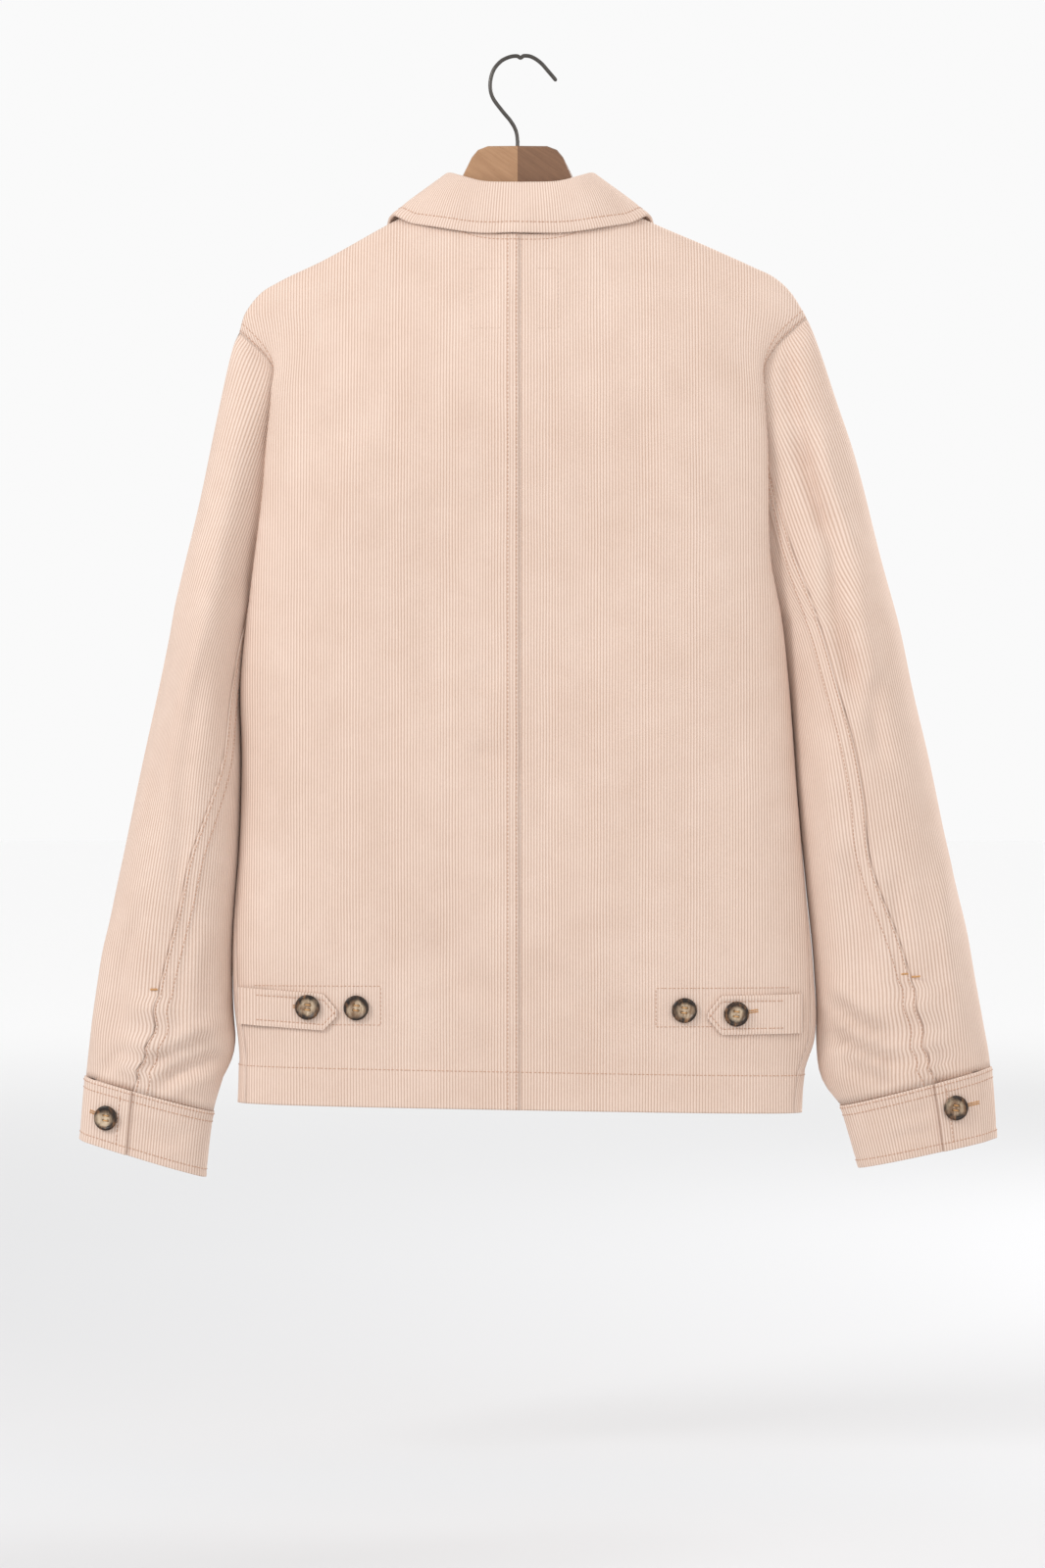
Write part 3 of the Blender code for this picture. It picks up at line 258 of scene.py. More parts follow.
# %% Levels of the body
def shoulder_height(side, out):
    """Height of the shoulder line at a distance out from the centre."""
    return read(SHOULDER_COLUMNS, SHOULDER_ROWS[side], "height", np.abs(out))


def shoulder_tip(side):
    """Distance out, and height, of the shoulder line's end."""
    return SHOULDER_ROWS[side][-1]


def pinch(side, out, height):
    """Share of the full depth: none on the shoulder line, and all of it a set distance below."""
    below = np.clip((shoulder_height(side, out) - height) / SHOULDER_RUN, 0, 1)
    return np.sqrt(1 - (1 - below) ** SHOULDER_POWER)


def dent(height, y):
    """How far the side is drawn in at the sleeve, between the back fold and the front fold."""
    near = np.clip(1 - (y / DENT_REACH) ** 2, 0, 1) ** 2
    return read(DEPTH_COLUMNS, DEPTH_ROWS, "dent", height) * near


def level_loop(side, level):
    """Half a level's loop from centre back to centre front: arc length, out, and y at full depth."""
    turn = np.linspace(0, math.pi, LOOP_STEPS + 1)
    half_width = read(WIDTH_COLUMNS, WIDTH_ROWS[side], "half_width", level)
    back, front = (read(DEPTH_COLUMNS, DEPTH_ROWS, name, level) for name in FACE)
    out = half_width * np.abs(np.sin(turn)) ** LOOP_POWER
    y = np.where(turn < math.pi / 2, back, -front) * np.abs(np.cos(turn)) ** LOOP_POWER
    return lengths_along(np.stack([out, y * pinch(side, out, level)], -1)), out, y


def lean_of(side, x, level):
    """How far the hem's lean lifts a point. It dies out at the underarm."""
    return HEM_LEAN * SIGN[side] * x * ease((UNDERARM - level) / (UNDERARM - HEM))


def on_level(side, level, arc, height):
    """Points at arc lengths along a level's loop, at heights that may rise towards the shoulder."""
    along, out, y = level_loop(side, level)
    mirrored = np.where(arc > along[-1], 2 * along[-1] - arc, np.abs(arc))
    x = np.interp(mirrored, along, out) * np.where((arc < 0) | (arc > along[-1]), -1, 1)
    depth = np.interp(mirrored, along, y) * pinch(side, x, height)
    x = x - np.sign(x) * dent(height, depth)
    return np.stack([SIGN[side] * x, depth, height + lean_of(side, x, level)], -1)


def border_arc(side, level, face):
    """Arc length at which a back panel ends, or a front panel starts: the armhole, or the side seam."""
    along, out, y = level_loop(side, level)
    y = y * pinch(side, out, level)
    if level > UNDERARM:
        tip = shoulder_tip(side)[1]
        middle, half = (tip + UNDERARM) / 2, (tip - UNDERARM) / 2
        target = face * ARMHOLE_HALF * math.sqrt(max(1 - ((level - middle) / half) ** 2, 0))
    else:
        target = read(DEPTH_COLUMNS, DEPTH_ROWS, "seam", level)
    return np.interp(-target, -y, along)


def neck_height(side, face, out):
    """Top edge of a panel: the neckline inside the neck, and the shoulder line outside it."""
    share = np.clip(np.abs(out) / NECK_HALF, 0, 1)
    corner = shoulder_height(side, NECK_HALF)
    if face > 0:
        neckline = BACK_NECK + (corner - BACK_NECK) * share**3
    else:
        neckline = FRONT_NECK + (corner - FRONT_NECK) * (1 - np.sqrt(1 - share**2))
    return np.where(np.abs(out) < NECK_HALF, neckline, shoulder_height(side, out))


def armhole_levels(side, count):
    """Levels from the shoulder tip to the underarm, close together at both ends."""
    tip = shoulder_tip(side)[1]
    return tip + (UNDERARM - tip) * (1 - np.cos(np.pi * np.linspace(0, 1, count))) / 2


BODY_ROWS = 74  # rows of the grid below the underarm
HEM_ROWS = np.array((0, 1.5, 4))  # rows close together at the hem's edge
ARMHOLE_ROWS = 61
NECK_COLUMNS = 30
SHOULDER_STEPS = 64
LAP_STEPS = 8


def panel_places(side, face):
    """Places along a panel's top edge, crowded at the neck's corner, and their shares of the half section."""
    tip_out, tip_height = shoulder_tip(side)
    along, out, y = level_loop(side, tip_height)
    inside = NECK_HALF * np.sin(np.linspace(0, math.pi / 2, NECK_COLUMNS))
    places = np.concatenate((inside, np.linspace(NECK_HALF, tip_out, SHOULDER_STEPS)[1:]))
    half = (y >= 0) if face > 0 else (y <= 0)
    if face > 0:
        arcs = np.interp(places, out[half], along[half])
        return places, arcs / arcs[-1]
    places = np.concatenate((np.linspace(-FRONT_LAP, 0, LAP_STEPS)[:-1], places))
    arcs = np.interp(np.abs(places), out[half][::-1], along[-1] - along[half][::-1])
    arcs = arcs * np.where(places < 0, -1, 1)
    return places, np.clip((arcs + FRONT_LAP) / (arcs[-1] + FRONT_LAP), 0, 1)


def body_panel(side, face):
    """A back or front panel as a grid: rows from hem to shoulder, columns from the centre to the side.

    Each row shares out its half of the level's loop among the columns, and the outer ones give way to the
    armhole. The second grid holds each point's distance across the cloth from the centre, and its height.
    """
    tip_height = shoulder_tip(side)[1]
    low = np.concatenate((HEM + HEM_ROWS, np.linspace(HEM + 8, UNDERARM, BODY_ROWS)[:-1]))
    levels = np.concatenate((low, armhole_levels(side, ARMHOLE_ROWS)[::-1]))
    places, shares = panel_places(side, face)
    rise = neck_height(side, face, places) - tip_height
    grid, cloth = [], []
    for level in levels:
        lift = np.clip((level - UNDERARM) / (tip_height - UNDERARM), 0, 1) ** 1.5
        along = level_loop(side, level)[0]
        full = along[LOOP_STEPS // 2]
        start = 0 if face > 0 else along[-1] + FRONT_LAP
        arc = start + (full - start) * shares + (border_arc(side, level, face) - full) * shares**2
        grid.append(on_level(side, level, arc, level + rise * lift))
        across = arc if face > 0 else along[-1] - arc
        cloth.append(np.stack([across, level + rise * lift], -1))
    return np.array(grid), np.array(cloth)


print("underarm half girth:", round(float(level_loop("left", UNDERARM)[0][-1]), 1), "mm")


# %% [markdown]
# ## The sleeves' form
# A sleeve is a tube of level sections too, and its top fans out to the body's own armhole. The outer and
# the inner line of the tube are read from the photo, and the two seams, on the back and the front of the
# arm, divide it into a top sleeve and an under sleeve, as on any two-piece sleeve.


# %% Sections of a sleeve
def armhole_curve(side, face):
    """Dense points of the armhole on the back or the front: level, out and y."""
    levels = armhole_levels(side, 181)
    arcs = [border_arc(side, h, face) for h in levels]
    points = np.array([on_level(side, h, np.array([a]), np.array([h]))[0] for h, a in zip(levels, arcs)])
    return levels, np.abs(points[:, 0]), points[:, 1]


ARMHOLES = {(side, face): armhole_curve(side, face) for side in SIGN for face in (1, -1)}


def sleeve_point(side, share, height):
    """Points of a sleeve. A share is 0 on its outer line, and 1 (back) or -1 (front) on its inner line."""

    def sized(name):
        """A size of the sleeve at these heights."""
        return read(SLEEVE_COLUMNS, SLEEVE_ROWS[side], name, height)

    at_back = share >= 0
    (out_back, y_back), (out_front, y_front) = (
        [np.interp(-height, -levels, line) for line in lines]
        for levels, *lines in (ARMHOLES[side, 1], ARMHOLES[side, -1])
    )
    seam_out = np.where(at_back, out_back, out_front)
    seam_y = np.where(height > UNDERARM, np.where(at_back, y_back, -y_front), 0)
    blend = ease((UNDERARM - height) / UNDERARM_BLEND)
    beside = read(WIDTH_COLUMNS, WIDTH_ROWS[side], "half_width", height) + SLEEVE_CLEAR
    beside = beside - read(DEPTH_COLUMNS, DEPTH_ROWS, "dent", height)
    beside = beside + SLEEVE_LEAVING * np.maximum(FREE_LEVEL - height, 0) ** 2
    below = seam_out * (1 - blend) + np.minimum(sized("inner"), beside) * blend
    inner = np.where(height > UNDERARM, seam_out, below)
    middle, half = (sized("outer") + inner) / 2, (sized("outer") - inner) / 2
    turn = np.pi * np.abs(share)
    x = middle + half * np.cos(turn)
    tucked = ease((np.abs(share) - TUCK_START) / (1 - TUCK_START))
    depth = np.where(at_back, sized("back"), sized("front")) * np.sin(turn) * (1 - sized("tuck") * tucked)
    y = np.where(at_back, 1, -1) * (depth + seam_y * tucked)
    return np.stack([SIGN[side] * x, y, height + sized("lean") * (x - middle)], -1)


def round_table(side, face):
    """Heights, and the sleeve's arc length from its outer to its inner line at each, over one face."""
    heights = np.linspace(-890, shoulder_tip(side)[1], 400)[:, None]
    shares = face * np.linspace(1e-9, 1, 61)[None, :]
    grid = sleeve_point(side, shares + 0 * heights, heights + 0 * shares)
    return heights[:, 0], np.linalg.norm(np.diff(grid, axis=1), axis=2).sum(1)


ROUNDS = {(side, face): round_table(side, face) for side in SIGN for face in (1, -1)}


def half_round(side, face, height):
    """Arc length over one face of a sleeve at a height."""
    return np.interp(height, *ROUNDS[side, face])


def seam_share(side, face, height):
    """Share of a face's turn at which its seam runs, from 0 on the outer line."""
    name = "back" if face > 0 else "front"
    return np.minimum(read(SEAM_COLUMNS, SEAM_ROWS[side], name, height), 1)


TOP_COLUMNS = 44
NOTCH_STEPS = 240
FAN_ROWS = 34
FAN_POWER = 1.3  # crowds the fan's rows at the armhole
SLEEVE_STEP = 6.0


def sleeve_face(side, face, part):
    """One face of a top or under sleeve: rows from the armhole to the cuff, columns from outer to inner.

    In the flat pattern the rows run straight from a point of the armhole to the first level ring, and the
    seam's column follows its table. The second grid is the distance from the outer line, and the height.
    """
    levels = armhole_levels(side, NOTCH_STEPS + 1)
    at = int(round((BACK_NOTCH if face > 0 else FRONT_NOTCH) * NOTCH_STEPS))
    levels = levels[: at + 1] if part == "top" else levels[at:]
    arc = half_round(side, face, levels)
    across = np.linspace(0, 1, TOP_COLUMNS)
    order = np.argsort(arc)
    levels = np.interp(arc[0] + across * (arc[-1] - arc[0]), arc[order], levels[order])
    notch_level = levels[-1] if part == "top" else levels[0]
    start_arc = half_round(side, face, levels)
    notch_arc = half_round(side, face, notch_level)
    end_seam = seam_share(side, face, FAN_END)
    end_round = half_round(side, face, FAN_END)

    def shares_at(height):
        """Shares of the turn at which the columns run at a height."""
        seam = seam_share(side, face, height)
        return seam * across if part == "top" else seam + (1 - seam) * across

    grid, cloth = [], []

    def add_row(share, height):
        """Adds a row of points, and their places on the flat cloth."""
        grid.append(sleeve_point(side, face * np.maximum(share, 1e-9), height))
        cloth.append(np.stack([face * share * half_round(side, face, height), height], -1))

    for v in np.linspace(0, 1, FAN_ROWS) ** FAN_POWER:
        height = levels + (FAN_END - levels) * v
        arc = start_arc + (shares_at(FAN_END) * end_round - start_arc) * v
        on_way = np.clip((height - notch_level) / (FAN_END - notch_level), 0, 1)
        straight = notch_arc + (end_seam * end_round - notch_arc) * on_way
        round_here = half_round(side, face, height)
        wanted = seam_share(side, face, np.minimum(height, notch_level)) * round_here
        weight = across**2 if part == "top" else 1 - across
        arc = arc + np.where(on_way > 0, (wanted - straight) * weight, 0)
        share = np.clip(arc / np.maximum(round_here, 1e-6), 0, 1)
        add_row(np.ones_like(share) if v == 0 else np.where(start_arc < 1e-6, 0, share), height)
    steps = int((FAN_END - CUFF_TOP[side]) / SLEEVE_STEP)
    for level in np.linspace(FAN_END, CUFF_TOP[side], steps)[1:]:
        share = shares_at(level)
        add_row(share, np.full_like(share, level))
    return np.array(grid), np.array(cloth)


def sleeve_piece(side, part):
    """The whole grid of a top or under sleeve, from its front seam to its back seam."""
    back, front = sleeve_face(side, 1, part), sleeve_face(side, -1, part)
    if part == "top":
        return [np.concatenate((f[:, ::-1], b[:, 1:]), axis=1) for b, f in zip(back, front)]
    return [np.concatenate((f, b[:, -2::-1]), axis=1) for b, f in zip(back, front)]


print("sleeve widths at the elbow:", [round(float(half_round(s, 1, -570)), 1) for s in SIGN])

# %% [markdown]
# ## Creases
# Hung cotton corduroy is nearly flat on the body and breaks into a few soft troughs where a sleeve bends
# or a seam holds it back. A simulation would give folds, but not these ones. Each crease is a row of a
# table, a line on the jacket as seen from the back or the front, with a width and a depth, and it moves
# the cloth along its own normal.

# %% Table of creases
CREASE_COLUMNS = ("x0", "z0", "x1", "z1", "width", "depth")
BACK_CREASES = (
    # the back, which hangs nearly flat: faint pulls at the waist and above the hem
    (36, -498, 16, -503, 7, -1.3),
    (38, -560, 8, -566, 8, -1.6),
    (80, -709, 9, -760, 12, -1.8),
    (-7, -729, -86, -776, 12, -1.6),
    (120, -300, 150, -420, 22, 1.6),
    (-120, -300, -165, -430, 22, 1.6),
    (190, -560, 200, -760, 20, 1.5),
    (-185, -560, -205, -760, 20, 1.5),
    (-60, -330, -70, -520, 26, -1.4),
    (70, -330, 64, -520, 26, -1.4),
    (196, -250, 214, -330, 10, 2.2),
    (-196, -240, -208, -330, 10, 2.4),
    # the wearer's left sleeve
    (236, -806, 290, -828, 6, -7.0),
    (246, -790, 304, -817, 5, -5.0),
    (240, -778, 286, -802, 6, 3.4),
    (244, -822, 290, -838, 4, 2.4),
    (262, -440, 296, -620, 13, -4.2),
    (246, -470, 268, -700, 9, -3.4),
    (252, -700, 262, -790, 9, 2.6),
    (268, -300, 286, -470, 13, 3.2),
    (306, -690, 322, -790, 7, -3.6),
    (330, -700, 340, -806, 8, 2.6),
    (318, -800, 338, -826, 6, -2.8),
    # the wearer's right sleeve, with its long fold below the armhole
    (-217, -240, -221, -300, 6, -6.0),
    (-222, -300, -249, -392, 8, -12.0),
    (-250, -396, -268, -520, 8, -10.0),
    (-240, -300, -268, -400, 8, 3.6),
    (-270, -400, -288, -530, 9, 3.4),
    (-284, -500, -289, -570, 8, -4.6),
    (-247, -560, -262, -660, 9, 3.0),
    (-262, -640, -284, -750, 9, -4.6),
    (-300, -660, -322, -800, 8, -3.6),
    (-244, -786, -306, -812, 6, -8.0),
    (-252, -806, -304, -826, 5, -4.0),
    (-252, -762, -298, -792, 6, -5.4),
    (-246, -742, -288, -776, 8, 3.4),
    (-250, -797, -300, -820, 4, 2.6),
    (-338, -640, -356, -790, 9, 3.0),
    (-330, -800, -360, -822, 6, -2.8),
)
FRONT_CREASES = (
    # the hidden side gets plain creases like those of the back
    (60, -300, 52, -520, 26, -1.6),
    (-60, -300, -66, -520, 26, -1.6),
    (130, -260, 165, -420, 20, 1.8),
    (-130, -260, -168, -420, 20, 1.8),
    (30, -560, 90, -600, 12, -1.6),
    (-24, -640, -96, -690, 12, -1.6),
    (200, -560, 206, -760, 18, 1.4),
    (-200, -560, -208, -760, 18, 1.4),
    (262, -440, 292, -620, 15, -2.6),
    (240, -810, 290, -832, 7, -3.0),
    (-232, -420, -262, -560, 11, -4.0),
    (-262, -800, -320, -824, 7, -3.0),
    (-300, -560, -320, -720, 12, -2.2),
)


CREASE_BOW = 0.05  # how far a crease bows out, as a share of its length
CREASE_PAST = 0.15  # share of its length that it runs on past both ends
CREASE_FADE = 0.4
WAVES = 7
WAVE_HEIGHT = 0.16
SIDE_BLEND = 4.0


def crease_lift(x, z, rows):
    """Sum of the table's creases: each fades by a bell curve away from its line and eases out at its ends."""
    lift = np.zeros(np.shape(x))
    for crease in records(CREASE_COLUMNS, rows):
        run_x, run_z = crease.x1 - crease.x0, crease.z1 - crease.z0
        length = math.hypot(run_x, run_z)
        share = ((x - crease.x0) * run_x + (z - crease.z0) * run_z) / length**2
        off = ((x - crease.x0) * run_z - (z - crease.z0) * run_x) / length
        bow = off + CREASE_BOW * length * np.sin(np.pi * np.clip(share, 0, 1))
        fade = ease((share + CREASE_PAST) / CREASE_FADE) * ease((1 + CREASE_PAST - share) / CREASE_FADE)
        lift += crease.depth * hump(bow, crease.width) * fade
    return lift


def lazy_waves(x, z, seed):
    """Very shallow unevenness of hung cloth: a few broad sine waves, about a millimetre high in all."""
    random = np.random.default_rng(seed)
    total = np.zeros(np.shape(x))
    for _ in range(WAVES):
        pitch = random.uniform(60, 220)
        turn = random.uniform(-0.5, 0.5)
        along = x * math.cos(turn) + z * math.sin(turn)
        total += np.sin(along * 2 * math.pi / pitch + random.uniform(0, 6.3))
    return total * WAVE_HEIGHT


def surface_normals(grid, outward):
    """Unit normals of a grid from its differences along rows and columns, on the side that outward gives."""
    normal = unit(np.cross(np.gradient(grid, axis=0), np.gradient(grid, axis=1)))
    middle = (grid.shape[0] // 2, grid.shape[1] // 2)
    return normal * np.sign(normal[middle] @ np.asarray(outward, float))


def crease_grid(grid, normal, hold):
    """Moves a grid along its normals by the creases of its own side. hold is 0 where seams keep the cloth."""
    x, z = grid[..., 0], grid[..., 2]
    back = ease((grid[..., 1] + SIDE_BLEND) / (2 * SIDE_BLEND))
    lift = crease_lift(x, z, BACK_CREASES) * back + crease_lift(x, z, FRONT_CREASES) * (1 - back)
    lift += lazy_waves(x, z, 5) * back + lazy_waves(x, z, 9) * (1 - back)
    return grid + normal * (lift * hold)[..., None]


print("creases:", len(BACK_CREASES) + len(FRONT_CREASES))

# %% [markdown]
# ## From grids to cloth
# A sheet of cloth has an outside, an inside and an edge. Solidify could add the inside, but at a seam two
# pieces must thicken towards the same side, so both grids are made here and joined round the edge. The
# cloth's own coordinates, across and along in metres, become its UV map, which is what the corduroy's
# ribs follow.


# %% Walls of cloth
def quads(rows, columns, first=0):
    """Corner indices of a grid's quads, row by row."""
    start = first + (np.arange(rows - 1)[:, None] * columns + np.arange(columns - 1)[None, :]).ravel()
    return np.stack([start, start + 1, start + columns + 1, start + columns], -1)


def new_mesh(name, points, faces, uv=None):
    """A mesh object from arrays, in metres, with smooth faces and an optional UV for each vertex."""
    mesh = bpy.data.meshes.new(name)
    points = (np.asarray(points) * MM).tolist()
    mesh.from_pydata(points, [], faces if isinstance(faces, list) else faces.tolist())
    mesh.update()
    mesh.shade_smooth()
    if uv is not None:
        layer = mesh.uv_layers.new(name="cloth")
        corner = np.empty(len(mesh.loops), np.int32)
        mesh.loops.foreach_get("vertex_index", corner)
        layer.data.foreach_set("uv", np.ascontiguousarray((uv * MM)[corner], np.float32).ravel())
    made = bpy.data.objects.new(name, mesh)
    bpy.context.scene.collection.objects.link(made)
    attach(made, "root")
    return made


def rim_of(rows, columns):
    """Indices round a grid's edge."""
    index = np.arange(rows * columns).reshape(rows, columns)
    return np.concatenate((index[0, :-1], index[:-1, -1], index[-1, :0:-1], index[:0:-1, 0]))


def outward_volume(points, faces):
    """Six times the volume inside a closed set of quads: positive when they face outwards."""
    a, b, c, d = (points[faces[:, k]] for k in range(4))
    return np.einsum("ij,ij->", a, np.cross(b, c)) + np.einsum("ij,ij->", a, np.cross(c, d))


def cloth_wall(name, outer, inner, cloth):
    """A closed sheet between an outer and an inner grid, with a rim round its edge."""
    rows, columns = outer.shape[:2]
    count = rows * columns
    points = np.concatenate((outer.reshape(-1, 3), inner.reshape(-1, 3)))
    rim = rim_of(rows, columns)
    after = np.roll(rim, -1)
    rim_faces = np.stack([after, rim, rim + count, after + count], -1)
    faces = np.concatenate((quads(rows, columns), quads(rows, columns, count)[:, ::-1], rim_faces))
    if outward_volume(points, faces) < 0:
        faces = faces[:, ::-1]
    return new_mesh(name, points, faces, np.concatenate([cloth.reshape(-1, 2)] * 2))


def flat_size(grid):
    """Widest and longest measure across a grid, in metres, and its area in square metres."""
    across = np.linalg.norm(np.diff(grid, axis=1), axis=2)
    along = np.linalg.norm(np.diff(grid, axis=0), axis=2)
    corner = np.cross(grid[1:, 1:] - grid[:-1, :-1], grid[1:, :-1] - grid[:-1, 1:])
    area = np.linalg.norm(corner, axis=2).sum() / 2
    return across.sum(1).max() * MM, along.sum(0).max() * MM, area * MM * MM


SHEETS = []


def make_cloth(name, node, surface, thick, flat=None):
    """The surface is an outer grid, its normals and its cloth coordinates. The flat size is measured on the grid
    called flat where the outer one has creases.
    """
    outer, normal, cloth = surface
    made = cloth_wall(name, outer, outer - normal * np.asarray(thick)[..., None], cloth)
    width, length, area = flat_size(outer if flat is None else flat)
    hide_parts(node)
    SHEETS.append((name, round(width, 3), round(length, 3), round(area, 4)))
    return surface


def tailor(name, node, grid, cloth, outward, thick, hold):
    """Creases a grid and makes its piece. Returns the piece's surface."""
    outer = crease_grid(grid, surface_normals(grid, outward), hold)
    return make_cloth(name, node, (outer, surface_normals(outer, outward), cloth), thick, grid)


# %% [markdown]
# ## Back and fronts
# Two backs meet at the centre seam, and two fronts button over each other. The folded hem is a second
# layer, so the cloth is thicker there and steps down at its stitching. Near a seam the creases die out,
# because both sides must meet along it.

# %% Body panels
FELL_RISE = 0.6  # how far the folded edges of the centre back seam stand up
FELL_WIDTH = 12.5
SEAM_STILL = 9.0  # creases fade out over these strips, beside a seam, the centre, the hem and the shoulder
CENTRE_STILL = 14.0
HEM_STILL = 60.0
SHOULDER_STILL = 40.0
HEM_PROUD = 0.7  # how far the turned hem stands out, and the strip over which it does
HEM_STEP = 2.5
LAP_GAP = 1.2  # between the upper front and the lower one
PANELS = {}


def seam_profile(across):
    """Height of the centre back's felled seam: a flat raised band beside the line, with soft edges."""
    return FELL_RISE * (ease((across + 1) / 2) - ease((across - FELL_WIDTH) / 3))


def body_hold(grid, cloth, face):
    """1 where creases may move a body panel, and 0 at its seams, hem, shoulder and side."""
    hold = ease(np.abs(cloth[..., 0] - cloth[:, -1:, 0]) / SEAM_STILL)
    hold *= ease((grid[..., 2] - HEM + 6) / HEM_STILL)
    hold *= ease((grid[-1:, :, 2] - grid[..., 2]) / SHOULDER_STILL)
    hold *= ease(np.abs(grid[..., 1]) / SIDE_STILL)
    return hold * ease((np.abs(cloth[..., 0]) + 2) / CENTRE_STILL) if face > 0 else hold


for side in SIGN:
    for name, face in FACE.items():
        grid, cloth = body_panel(side, face)
        hold = body_hold(grid, cloth, face)
        folded = ease((HEM + HEM_TURN - cloth[..., 1]) / HEM_STEP)
        rise = folded * HEM_PROUD
        if (name, side) == ("back", "left"):
            rise = rise + seam_profile(cloth[..., 0])
        outward = (0, face, 0)
        grid = grid + surface_normals(grid, outward) * rise[..., None]
        if (name, side) == ("front", "left"):
            over = ease((LAP_END - grid[..., 0]) / (LAP_END - FRONT_LAP))
            grid[..., 1] -= over * (HEM_CLOTH + LAP_GAP)
        thick = CLOTH + (HEM_CLOTH - CLOTH) * folded
        names = f"{name}_panel_{side}", f"{name}_{side}"
        PANELS[name, side] = tailor(*names, grid, cloth, outward, thick, hold)
print("body panels, flat:", SHEETS)

# %% [markdown]
# ## Sleeves
# Each sleeve is a top and an under piece. Their seam on the back of the arm is open at the wrist, and its
# edge there waves, because the placket's two layers are sewn tighter than the cloth beside them.

# %% Sleeve pieces
SLEEVE_FADE = 7.0
SLEEVE_HOLD = 0.35  # share of a crease that is left at a sleeve's seams
CAP_STILL = 16.0
WRIST_STILL = 14.0
WRIST_EASE = 12.0
SEAM_RISE = 0.9  # the seam's folded edges lift the under sleeve beside it
SEAM_BAND = 13.0
PLACKET_TOP = {"left": -752.0, "right": -741.0}
PLACKET_REACH = 15.0
PLACKET_PITCH = 25.0
PLACKET_RISE = {"top": 2.6, "under": 0.9}  # the top sleeve's edge lies over the under sleeve's
PLACKET_WAVE = 1.5
PLACKET_SWAY = 1.9
SLEEVES = {}


def opening(side, distance, height):
    """Share of a point in the wrist opening: 1 at its edge, 0 above its bar tack and at the cuff."""
    below = ease((PLACKET_TOP[side] - height) / WRIST_EASE)
    return hump(distance, PLACKET_REACH) * below * ease((height - CUFF_TOP[side]) / WRIST_EASE)


def ripple(height):
    """Short, uneven waves along the opening's edge."""
    return np.sin(height * 2 * math.pi / PLACKET_PITCH + np.sin(height / 13) * 1.1)


for side in SIGN:
    for part, facing in (("top", 1), ("under", -1)):
        grid, cloth = sleeve_piece(side, part)
        across, height = cloth[..., 0], cloth[..., 1]
        to_back_seam = np.abs(across - across[:, -1:])
        to_seam = np.minimum(np.abs(across - across[:, :1]), to_back_seam)
        to_cap = np.linalg.norm(grid - grid[:1], axis=2)
        hold = (SLEEVE_HOLD + (1 - SLEEVE_HOLD) * ease(to_seam / SLEEVE_FADE)) * ease(to_cap / CAP_STILL)
        hold *= ease((grid[..., 2] - grid[-1:, :, 2]) / WRIST_STILL) * ease(np.abs(grid[..., 1]) / SIDE_STILL)
        at_back = across > 0
        opened = opening(side, to_back_seam, height) * at_back
        wave = opened * ripple(height)
        raised = SEAM_RISE * at_back * ease((SEAM_BAND - to_back_seam) / 3) * (part == "under")
        rise = (PLACKET_WAVE * wave + PLACKET_RISE[part] * opened + raised) * ease(to_cap / WRIST_EASE)
        outward = (SIGN[side] * facing, 0, 0)
        grid = grid + surface_normals(grid, outward) * rise[..., None]
        grid[..., 0] += PLACKET_SWAY * wave
        names = f"sleeve_{part}_cloth_{side}", f"sleeve_{part}_{side}"
        SLEEVES[part, side] = tailor(*names, grid, cloth, outward, CLOTH, hold)
print("sleeve pieces, flat:", SHEETS[4:])

# %% [markdown]
# ## Cuffs
# A cuff is a straight band of two layers, wrapped round the wrist until one end laps over the other at
# the sleeve's back seam. Its ring is the sleeve's own, a little proud, and it steps outwards where it
# laps.

# %% Cuff bands
CUFF_PROUD = 1.0
CUFF_LAP = 32.0
LAP_COLUMN = 90  # the columns beyond this one lap over the covered end
CUFF_EDGE = np.array((0, 0.6, 2.0))  # rows close together at both edges
CUFF_WAVE = 0.25
CUFF_WAVE_LENGTH = 9.0
CUFF_CREASES = (
    (306, -868, 270, -876, 5, -1.6),
    (312, -857, 262, -868, 4, -1.2),
    (-334, -866, -296, -874, 5, -1.6),
    (-300, -852, -330, -846, 5, -1.4),
)
# The rolled edges are a little thicker than the middle, and rows of stitching pull the cloth in beside them.
ROLL_COLUMNS = ("at", "width", "lift")
CUFF_ROLLS = ((3, 2.5, 0.35), (7, 2, -0.3), (50, 3, 0.35), (45.5, 2, -0.3))
CUFFS = {}


def rolled(distance, rows):
    """Lift of the cloth at a distance from an edge: the sum of a table's low bumps and dips."""
    return sum(row.lift * hump(distance - row.at, row.width) for row in records(ROLL_COLUMNS, rows))


